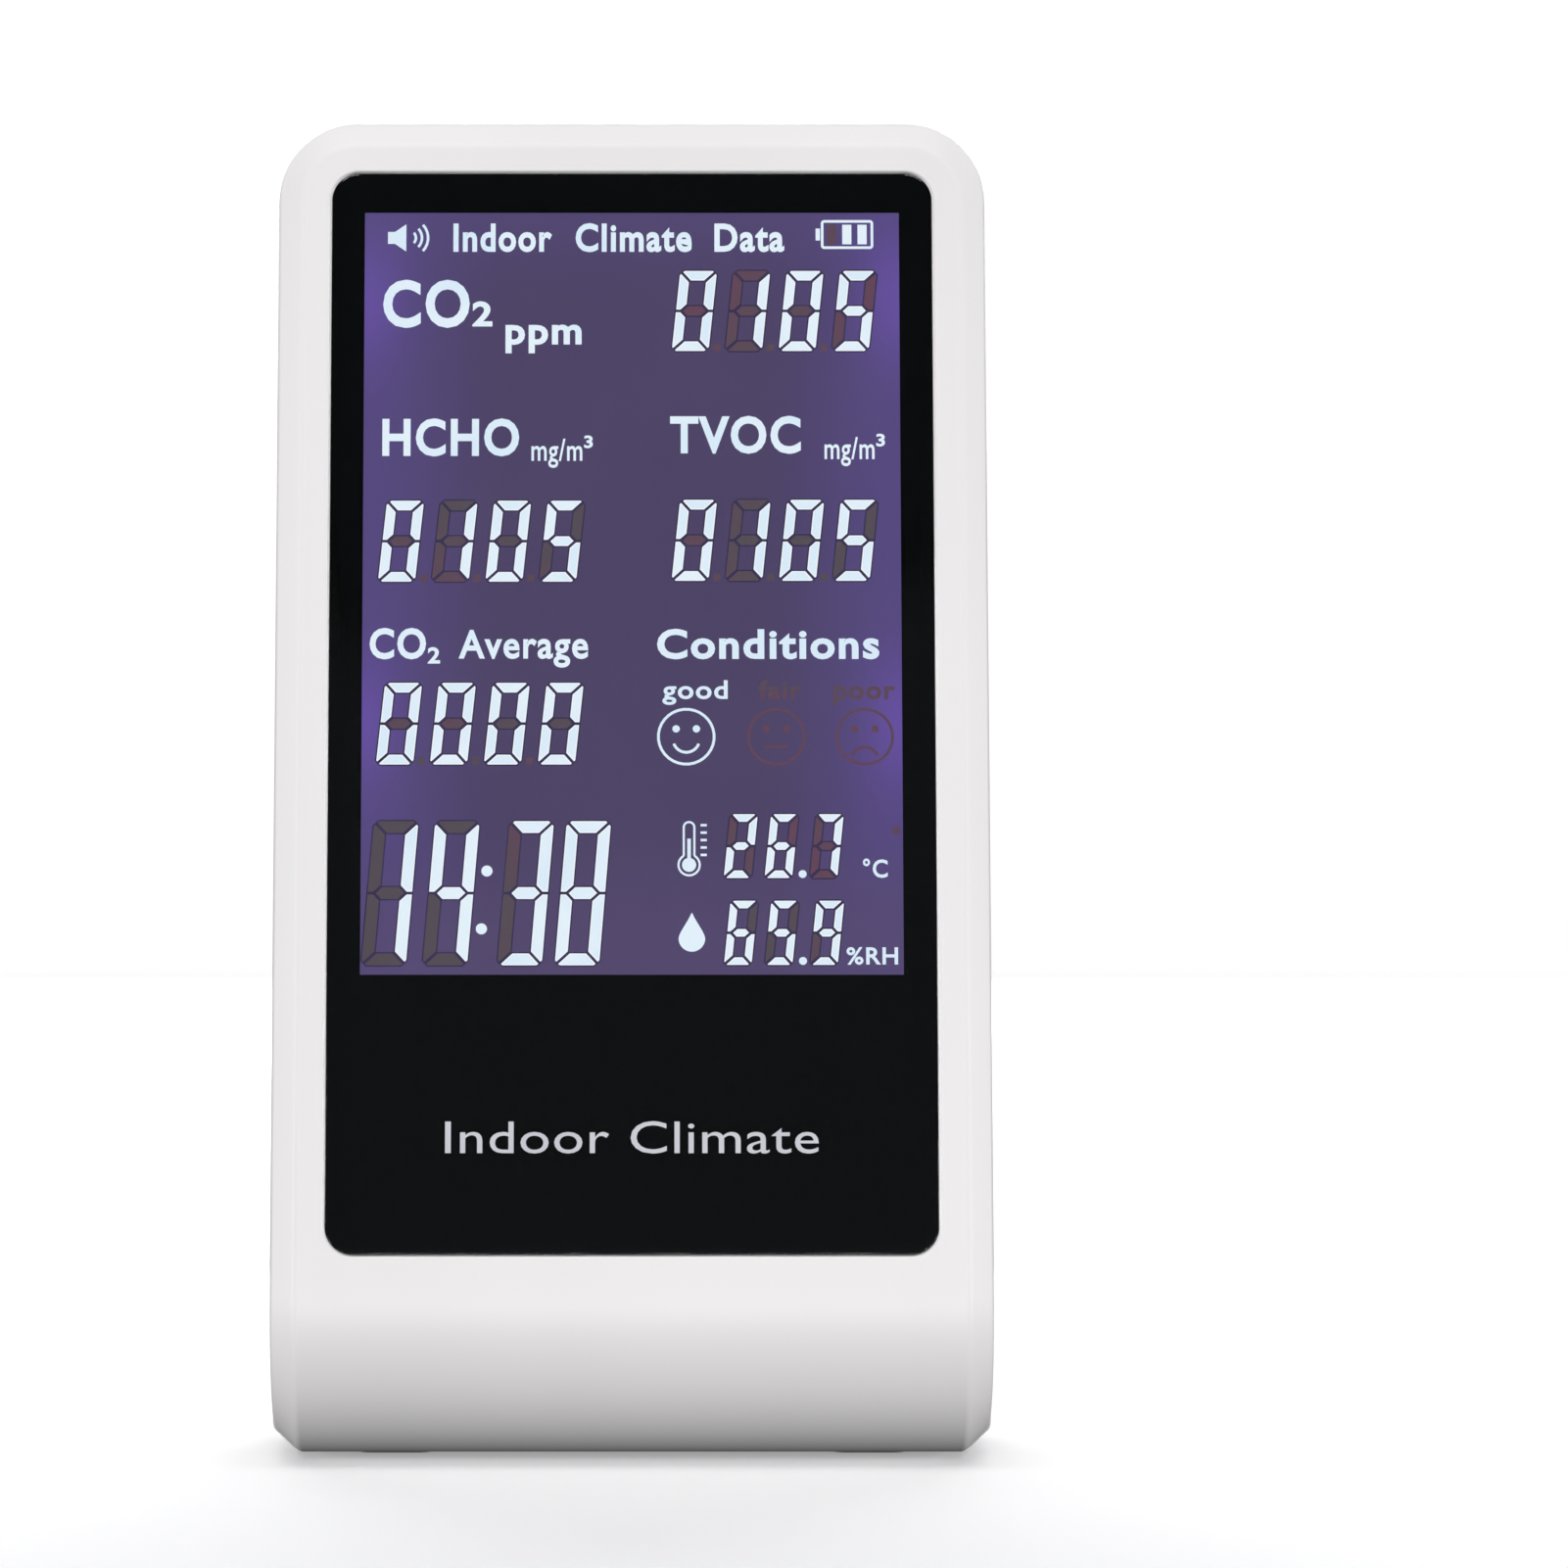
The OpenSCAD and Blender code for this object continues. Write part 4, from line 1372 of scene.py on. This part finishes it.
def letters(text: str, bold: float) -> BMesh:
    """Outlines of a word as flat faces, one unit high.

    Args:
        text: The word.
        bold: How much the strokes are thickened.

    Returns:
        A mesh whose capital letters stand one unit high on the x axis, from x = 0.
    """
    def drawn(words: str) -> BMesh:
        """Fills the outlines of some text at the font's own size.

        Args:
            words: The text.

        Returns:
            A mesh of flat faces.
        """
        curve = bpy.data.curves.new("word", "FONT")
        curve.body, curve.offset, curve.resolution_u = words, bold, 4
        curve.space_character = 1.04 + 2.4 * bold
        holder = bpy.data.objects.new("word", curve)
        bpy.context.scene.collection.objects.link(holder)
        mesh = bpy.data.meshes.new_from_object(holder)
        bm = bmesh.new()
        bm.from_mesh(mesh)
        bpy.data.objects.remove(holder)
        bpy.data.curves.remove(curve)
        bpy.data.meshes.remove(mesh)
        return bm

    tall = drawn("H")
    unit = max(vert.co.y for vert in tall.verts)
    tall.free()
    word = drawn(text)
    left = min(vert.co.x for vert in word.verts)
    bmesh.ops.translate(word, vec=(-left, 0, 0), verts=word.verts)
    bmesh.ops.scale(word, vec=(1 / unit, 1 / unit, 1), verts=word.verts)
    return word


def thicken(bm: BMesh, thickness: float, place: Matrix) -> None:
    """Turns flat faces into a thin raised print and puts it in its place.

    Args:
        bm: Flat faces on z = 0.
        thickness: Height of the print.
        place: Matrix to body coordinates.
    """
    bmesh.ops.remove_doubles(bm, verts=bm.verts, dist=0.0005)
    raised = bmesh.ops.extrude_face_region(bm, geom=list(bm.faces), use_keep_orig=True)
    top = [item for item in raised["geom"] if isinstance(item, bmesh.types.BMVert)]
    bmesh.ops.translate(bm, vec=(0, 0, thickness), verts=top)
    bmesh.ops.transform(bm, matrix=place, verts=bm.verts)


@dataclass
class Sketch:
    """Flat shapes of a print or a display, in millimetres."""

    bm: BMesh = field(default_factory=bmesh.new)

    def polygon(self, points: Sequence[tuple[float, float]], border: float = 0.0,
                edge: float = 0.0) -> None:
        """Adds a flat shape, with a dark border and a pale edge inside its outline.

        Args:
            points: Corners in order.
            border: Width of the border, whose faces take material 1.
            edge: Width of the edge, whose faces take material 2.
        """
        face = self.bm.faces.new([self.bm.verts.new((x, y, 0)) for x, y in points])
        face.normal_update()
        for number, width in ((1, border), (2, edge)):
            if width:
                ring = bmesh.ops.inset_individual(self.bm, faces=[face], thickness=width,
                                                  use_even_offset=True)
                for part in ring["faces"]:
                    part.material_index = number

    def bar(self, x: float, y: float, width: float, height: float) -> None:
        """Adds a rectangle at its lower left corner."""
        self.polygon([(x, y), (x + width, y), (x + width, y + height), (x, y + height)])

    def dot(self, x: float, y: float, radius: float) -> None:
        """Adds a disc."""
        bmesh.ops.create_circle(self.bm, cap_ends=True, segments=24, radius=radius,
                                matrix=Matrix.Translation((x, y, 0)))

    def frame(self, ring: Ring, line: float, x: float, y: float) -> None:
        """Adds the outline of a ring as a line of a width."""
        inner = Ring(ring.width - 2 * line, ring.height - 2 * line, ring.corner - line)
        loft(self.bm, [ring, inner], Matrix.Translation((x, y, 0)))

    def arc(self, x: float, y: float, radius: float, line: float, start: float,
            sweep: float) -> None:
        """Adds a part of a circle as a line.

        Args:
            x: Centre across.
            y: Centre up.
            radius: Radius of the middle of the line.
            line: Width of the line.
            start: Angle of the first end, in degrees.
            sweep: Angle to the other end, in degrees.
        """
        turn = Matrix.Rotation(math.radians(start), 3, "Z")
        ends = [self.bm.verts.new(turn @ Vector((r, 0, 0)) + Vector((x, y, 0)))
                for r in (radius - line / 2, radius + line / 2)]
        edge = self.bm.edges.new(ends)
        bmesh.ops.spin(self.bm, geom=[*ends, edge], cent=(x, y, 0), axis=(0, 0, 1),
                       angle=math.radians(sweep), steps=max(4, round(abs(sweep) / 12)),
                       use_merge=False)

    def word(self, label: Label) -> None:
        """Adds a word, fitted between its two places.

        Args:
            label: The word and its places.
        """
        shape = letters(label.text, label.bold)
        width = max(vert.co.x for vert in shape.verts)
        size = ((label.right - label.left) / width, label.cap, 1)
        place = Matrix.Translation((label.left, label.baseline, 0)) @ Matrix.Diagonal((*size, 1))
        bmesh.ops.transform(shape, matrix=place, verts=shape.verts)
        absorb(self.bm, shape)


@dataclass
class Display:
    """The lens with its print, and the panel with its segments, words and signs."""

    body: Body
    shop: Workshop
    housing: Housing
    border: float = 0.16
    edge: float = 0.12
    ink: float = 0.02

    def __post_init__(self) -> None:
        """Starts the lit and the unlit sketch."""
        self.sketch = {glow: Sketch() for glow in Glow}
        picture, middle = self.housing.picture()
        self.half_width, self.height = picture.width / 2, picture.height
        self.foot = middle - picture.height / 2

    def build(self) -> None:
        """Builds the lens, the panel and everything that the panel shows."""
        self._lens()
        self.shop.dress("lcd_panel", GlowingPanel("display_panel", self.body.lean, self.half_width,
                                                  self.foot, self.height).material())
        for row in ROWS:
            self._digits(row)
        for label in LABELS:
            self.sketch[label.glow].word(label)
        self._header_signs()
        self._clock_and_climate_signs()
        self._faces()
        place = self.body.face.at(-self.half_width, self.foot, -self.body.face_wall)
        dark = GlowingInk("segment_border", srgb(44, 38, 74), srgb(50, 42, 80)).material()
        lit = GlowingInk("segment_lit", srgb(222, 240, 253), srgb(232, 246, 255)).material()
        pale = GlowingInk("segment_edge", srgb(250, 253, 255), srgb(244, 250, 255)).material()
        ghost = GlowingInk("segment_unlit", srgb(96, 62, 82), srgb(80, 71, 78), 55.0).material()
        for glow, paints, slot in ((Glow.GHOST, [ghost, dark], "lcd_ghost"),
                                   (Glow.LIT, [lit, dark, pale], "lcd_segment")):
            bm = self.sketch[glow].bm
            thicken(bm, self.ink, place)
            self.shop.piece(glow.value, bm, "housing", slot, paints)

    def _lens(self) -> None:
        """Builds the clear lens, dresses its black print and adds the words on it."""
        body = self.body
        pocket, middle = self.housing.pocket()
        rim = grown(pocket, -body.lens_gap, -body.recess - body.lens_t)
        bm = bmesh.new()
        plate(bm, rim, body.lens_t, 0.2, body.face.at(0, middle))
        glass = self.shop.piece("display_lens_plate", bm, "housing", "lens",
                                [ClearPlate("clear_acrylic").material()], ["display_lens"])
        glass.visible_shadow = False
        recipe = Recipe("black_print")
        speck = recipe.noise(1500.0, 2.0)
        self.shop.dress("lens_mask", recipe.finish(
            Base_Color=recipe.mix(speck, srgb(4, 5, 6), srgb(6, 7, 8)), Roughness=0.6,
            Specular_IOR_Level=0.0))
        words = Sketch()
        words.word(Label("Indoor Climate", -20.9, 20.9, 11.5, 3.55, bold=0.0))
        foot = middle - rim.height / 2
        thicken(words.bm, self.ink, body.face.at(0, foot, -body.recess - body.lens_t))
        # Painted light: the grey words glow by their own emission instead of being lit by the
        # lamps.
        pale = GlowingInk("self_lit_grey_print", srgb(200, 200, 208), srgb(208, 208, 214)).material()
        self.shop.piece("lens_words", words.bm, "housing", "print_grey", [pale])

    def _digits(self, row: Digits) -> None:
        """Adds a row of digits, lit segments and unlit ones.

        Args:
            row: The row of digits.
        """
        for place, sign in enumerate(row.text):
            for letter, points in self._segments(row).items():
                lit = letter in SEGMENTS[sign]
                spots = [(row.x + place * row.pitch + x + y * math.tan(row.slant), row.y + y)
                         for x, y in points]
                glow = Glow.LIT if lit else Glow.GHOST
                self.sketch[glow].polygon(spots, self.border, self.edge if lit else 0.0)

    def _segments(self, row: Digits) -> dict[str, list[tuple[float, float]]]:
        """Outlines of the seven segments of one upright digit, borders included.

        Args:
            row: The row that the digit belongs to.

        Returns:
            The corners of each segment by its letter, a to g.
        """
        b = self.border
        w, h, t = row.width + b, row.height + b, row.stroke + 2 * b
        cut = 0.2 * t
        middle = (h - b) / 2

        def flip(points: list[tuple[float, float]], across: bool, down: bool) -> list:
            """Mirrors a segment to the other side or to the lower half."""
            return [(w - b - x if across else x, h - b - y if down else y) for x, y in points]

        top = [(2 * cut - b, h), (w - 2 * cut, h), (w - cut, h - cut), (w - t, h - t),
               (t - b, h - t), (cut - b, h - cut)]
        right = [(w, h - 2 * cut), (w, middle), (w - t / 2, middle), (w - t, middle + t / 2),
                 (w - t, h - t), (w - cut, h - cut)]
        bar = [(t / 2 - b, middle), (t - b, middle + t / 2), (w - t, middle + t / 2),
               (w - t / 2, middle), (w - t, middle - t / 2), (t - b, middle - t / 2)]
        return {"a": top, "b": right, "c": flip(right, False, True), "d": flip(top, False, True),
                "e": flip(right, True, True), "f": flip(right, True, False), "g": bar}

    def _header_signs(self) -> None:
        """Adds the loudspeaker and the battery at the top, and the small unlit decimal squares."""
        lit, ghost = self.sketch[Glow.LIT], self.sketch[Glow.GHOST]
        lit.polygon([(2.6, 84.8), (3.4, 84.8), (4.7, 83.9), (4.7, 87.1), (3.4, 86.2), (2.6, 86.2)])
        for radius in (0.9, 1.6, 2.3):
            lit.arc(4.9, 85.5, radius, 0.3, -42, 84)
        lit.frame(Ring(6.0, 3.4, 0.4), 0.3, 55.2, 85.9)
        lit.bar(51.6, 85.2, 0.5, 1.4)
        for x, glow in ((52.9, ghost), (54.65, lit), (56.4, lit)):
            glow.bar(x, 84.75, 1.05, 2.3)
        for row in ROWS[:4]:
            for gap in range(3):
                ghost.bar(row.x + row.pitch * (gap + 1) - 1.35, row.y, 0.8, 0.8)

    def _clock_and_climate_signs(self) -> None:
        """Adds the colon, the decimal points, the thermometer and the drop."""
        lit, ghost = self.sketch[Glow.LIT], self.sketch[Glow.GHOST]
        for x, y in ((14.2, 12.0), (13.6, 5.4)):
            lit.dot(x, y, 0.63)
        for y in (11.2, 1.3):
            lit.dot(49.8, y + 0.45, 0.45)
        x, y = 37.0, 12.7
        lit.arc(x, y, 1.2, 0.24, 120, 300)
        lit.arc(x, y + 4.3, 0.6, 0.24, 0, 180)
        for side in (-1, 1):
            lit.bar(x + 0.6 * side - 0.12, y + 1.04, 0.24, 3.26)
        lit.dot(x, y, 0.8)
        lit.bar(x - 0.2, y, 0.4, 3.0)
        for tick in range(5):
            lit.bar(x + 1.3, y + 1.0 + 0.85 * tick, 0.7, 0.28)
        made = bmesh.ops.create_circle(lit.bm, cap_ends=True, segments=32, radius=1.5)
        for vert in made["verts"]:
            rise = max(vert.co.y, 0.0) / 1.5
            vert.co.x *= 1 - 0.8 * rise * rise
            vert.co.y *= 1 + 0.95 * rise
        bmesh.ops.translate(lit.bm, vec=(37.3, 4.3, 0), verts=made["verts"])
        ghost.bar(60.0, 16.2, 0.8, 0.8)

    def _faces(self) -> None:
        """Adds the row of three plain faces: a lit smile, an unlit straight mouth and a frown."""
        for x, glow, bend in ((36.7, Glow.LIT, 1), (46.9, Glow.GHOST, 0), (56.9, Glow.GHOST, -1)):
            sketch = self.sketch[glow]
            y = 27.4
            sketch.frame(Ring(6.6, 6.6, 3.3), 0.31, x, y)
            for side in (-1, 1):
                sketch.dot(x + 1.15 * side, y + 0.9, 0.42)
            if bend:
                sketch.arc(x, y - 0.3 - (bend < 0) * 2.4, 1.5, 0.32, 200 if bend > 0 else 20, 140)
            else:
                sketch.bar(x - 1.3, y - 1.3, 2.6, 0.32)


# ---------------------------------------------------------------- back: buttons and port


class Key(Enum):
    """The three push buttons, by the CAD body that each moves with."""

    POWER = "power_key"
    MODE = "mode_key"
    ALARM = "alarm_key"


@dataclass
class Controls:
    """Button caps with their printed signs."""

    body: Body
    shop: Workshop
    signs: float = 0.02
    line: float = 0.32
    stem: float = 3.0
    flange: float = 9.6
    flange_t: float = 0.8
    cap: float = 7.4
    edge: float = 0.6
    dish: float = 0.18

    def build(self, paint: bpy.types.Material, ink: bpy.types.Material) -> None:
        """Builds the three caps and the sign on each.

        Args:
            paint: Finish of the caps.
            ink: Finish of the signs.
        """
        for key in Key:
            stem = key.value.removesuffix("_key")
            low, high = box_mm(f"{stem}_button")
            x, z = (low.x + high.x) / 2, (low.z + high.z) / 2
            place = self.body.back.at(-x, z)
            self._cap(key, stem, low.y - self.body.rear_y, high.y - self.body.rear_y, place, paint)
            sketch = Sketch()
            self._sign(key, sketch)
            top = high.y - self.body.rear_y - self.dish + self.signs / 2
            thicken(sketch.bm, self.signs, place @ Matrix.Translation((0, 0, top)))
            self.shop.piece(f"{stem}_sign", sketch.bm, key.value, "print_grey", [ink])

    def _cap(self, key: Key, stem: str, deep: float, top: float, place: Matrix,
             paint: bpy.types.Material) -> None:
        """Lofts a cap with its stem, its flange and a dished top.

        Args:
            key: The button.
            stem: First word of its CAD nodes.
            deep: Height of the end of the stem, out of the back.
            top: Height of the top of the cap.
            place: Matrix of the button on the back.
            paint: Its finish.
        """
        flange = -self.body.wall - 0.2
        angles = [QUARTER * step / 4 for step in range(5)]
        below = flange - self.flange_t
        rings = [disc(self.stem, deep), disc(self.stem, below), disc(self.flange, below),
                 disc(self.flange, flange), disc(self.cap, flange)]
        rings += [disc(self.cap - 2 * self.edge * (1 - math.cos(a)),
                       top - self.edge * (1 - math.sin(a))) for a in angles]
        rings += [disc(5.4, top - 0.06), disc(4.6, top - 0.16), disc(4.2, top - self.dish)]
        bm = bmesh.new()
        first, last = loft(bm, rings, place)
        bmesh.ops.edgeloop_fill(bm, edges=first)
        bmesh.ops.edgeloop_fill(bm, edges=last)
        self.shop.piece(f"{stem}_button_cap", bm, key.value, "button", [paint], [f"{stem}_button"])

    def _sign(self, key: Key, sketch: Sketch) -> None:
        """Draws a plain sign: on and off, a list, or a ringing clock.

        Args:
            key: The button.
            sketch: The sketch to draw in.
        """
        if key is Key.POWER:
            sketch.arc(0, 0, 1.15, self.line, 120, 300)
            sketch.bar(-self.line / 2, 0.35, self.line, 1.15)
        elif key is Key.MODE:
            for y in (-0.85, 0.0, 0.85):
                sketch.bar(-1.2, y - self.line / 2, 2.4, self.line)
        else:
            sketch.frame(disc(2.3), 0.28, 0, -0.1)
            sketch.bar(-0.12, -0.1, 0.24, 0.75)
            sketch.bar(0.12, -0.1, 0.5, 0.24)
            for start in (25, 115):
                sketch.arc(0, -0.1, 1.55, self.line, start, 40)


@dataclass
class Port:
    """Contact tongue of the charging socket."""

    body: Body
    shop: Workshop
    contacts: int = 6
    pitch: float = 0.9

    def build(self, paint: bpy.types.Material, gold: bpy.types.Material) -> None:
        """Builds the black tongue and its contacts on both faces.

        Args:
            paint: Finish of the tongue.
            gold: Finish of the contacts.
        """
        low, high = box_mm("usb_socket")
        z = (low.z + high.z) / 2
        place = Plane(Vector((0, high.y, z)), Vector((-1, 0, 0)), Vector((0, 0, 1))).at()
        tongue = bmesh.new()
        plate(tongue, Ring(6.8, 0.78, 0.3, -5.6), 4.65, 0.2, place)
        self.shop.piece("socket_tongue", tongue, "housing", "black_plastic", [paint])
        strips = bmesh.new()
        for side in (-1, 1):
            for place_x in range(self.contacts):
                x = (place_x - (self.contacts - 1) / 2) * self.pitch
                spot = place @ Matrix.Translation((x, side * 0.4, -3.0))
                block(strips, (0.3, 0.06, 3.6), spot)
        bmesh.ops.bevel(strips, geom=list(strips.edges), offset=0.02, offset_type="OFFSET",
                        segments=1, profile=0.5, affect="EDGES", material=-1)
        self.shop.piece("socket_contacts", strips, "housing", "brass_can", [gold])


# ---------------------------------------------------------------- inside


@dataclass
class Inside:
    """Finishes of the pieces that the shells close in."""

    body: Body
    shop: Workshop

    def _wire(self, name: str, colours: Sequence[tuple[float, float, float, float]], start: float,
              pitch: float) -> bpy.types.Material:
        """Insulation whose colour changes from lead to lead.

        Args:
            name: Name of the material.
            colours: One colour for each lead, by rising x.
            start: Place of the first lead across, in millimetres.
            pitch: Distance between the leads.

        Returns:
            The material.
        """
        recipe = Recipe(name)
        across, _ = recipe.face_terms(self.body.lean)
        shine = recipe.noise(700.0, 2.0)
        colour: Any = colours[0]
        for number, other in enumerate(colours[1:]):
            colour = recipe.mix(across.over(start + pitch * (number + 0.5)), colour, other)
        return recipe.finish(Base_Color=colour, Roughness=0.38 + 0.14 * shine,
                             Normal=recipe.bump(shine, 0.000008))

    def build(self) -> None:
        """Dresses each inner node."""
        black = MouldedPlastic("black_moulding", srgb(34, 34, 36), 0.5).material()
        board = SolderMask("solder_mask", self.body.lean).material()
        steel = Metal("plated_steel", srgb(196, 197, 200)).material()
        red, dark, pale = srgb(176, 34, 30), srgb(28, 28, 30), srgb(226, 226, 222)
        two = self._wire("paired_leads", (dark, red), -1.5, 3.0)
        paints = {
            board: ("main_board", "power_board", "sensor_board", "button_board"),
            black: ("buzzer", "tact_switches", "power_plunger", "mode_plunger", "alarm_plunger"),
            steel: ("usb_socket", "case_screws", "main_board_screws", "sensor_board_screws",
                    "button_board_screws", "power_board_screws"),
            Metal("sensor_can", srgb(206, 207, 208), 0.22, (1, 12, 1)).material():
                ("hcho_sensor", "tvoc_sensor"),
            Metal("gold_can", srgb(205, 176, 96), 0.3).material(): ("co2_sensor",),
            MouldedPlastic("chip_moulding", srgb(38, 38, 41), 0.62, 7000.0).material():
                ("board_chips", "power_board_chips"),
            MouldedPlastic("ivory_moulding", srgb(238, 234, 220), 0.45).material():
                ("battery_socket",),
            MouldedPlastic("frame_moulding", srgb(228, 228, 224), 0.5).material(): ("lcd_frame",),
            MouldedPlastic("white_part", srgb(236, 237, 238), 0.5).material(): ("humidity_sensor",),
            MouldedPlastic("reflector", srgb(246, 246, 246), 0.3).material(): ("reflector_film",),
            ClearPlate("guide_acrylic").material(): ("light_guide",),
            GlowingInk("lamp_phosphor", srgb(236, 222, 150), srgb(250, 240, 190)).material():
                ("backlight_leds",),
            Rubber("contact_strip", srgb(52, 52, 58), 3400.0).material(): ("lcd_connector",),
            Rubber("foam_tape", srgb(44, 44, 46)).material(): ("lens_tape",),
            Foil("cell_foil").material(): ("battery_pack",),
            MouldedPlastic("amber_film", srgb(214, 190, 110), 0.25).material(): ("battery_tape",),
            WovenMesh("dust_screen").material(): ("vent_mesh",),
            two: ("battery_leads", "power_leads"),
            self._wire("sensor_wires", (dark, red, srgb(210, 180, 40), pale), 8.0, 1.6):
                ("sensor_leads",),
            self._wire("button_wires", (dark, red, srgb(40, 90, 160), pale), 4.0, 1.6):
                ("button_leads",),
        }
        for paint, nodes in paints.items():
            for node in nodes:
                self.shop.dress(node, paint)


# ---------------------------------------------------------------- assembly


def main() -> None:
    """Builds the sub-assemblies in order and reports each piece."""
    logging.basicConfig(level=logging.INFO, format="%(name)s %(message)s")
    body, shop = Body(), Workshop()
    Studio().build()
    white = MouldedPlastic("white_shell", srgb(243, 241, 242)).material()
    housing = Housing(body, shop)
    housing.front_shell(white)
    housing.rear_shell(white)
    housing.feet(Rubber("foot_rubber", srgb(48, 48, 50)).material())
    Display(body, shop, housing).build()
    ink = MouldedPlastic("grey_ink", srgb(120, 122, 126), 0.5).material()
    caps = MouldedPlastic("button_plastic", srgb(214, 215, 217), 0.38).material()
    Controls(body, shop).build(caps, ink)
    Port(body, shop).build(MouldedPlastic("tongue_plastic", srgb(26, 26, 28), 0.45).material(),
                           Metal("contact_gold", srgb(226, 190, 104), 0.22).material())
    Inside(body, shop).build()
    LOG.info("%d pieces", len(shop.made))


if __name__ == "__main__":
    main()
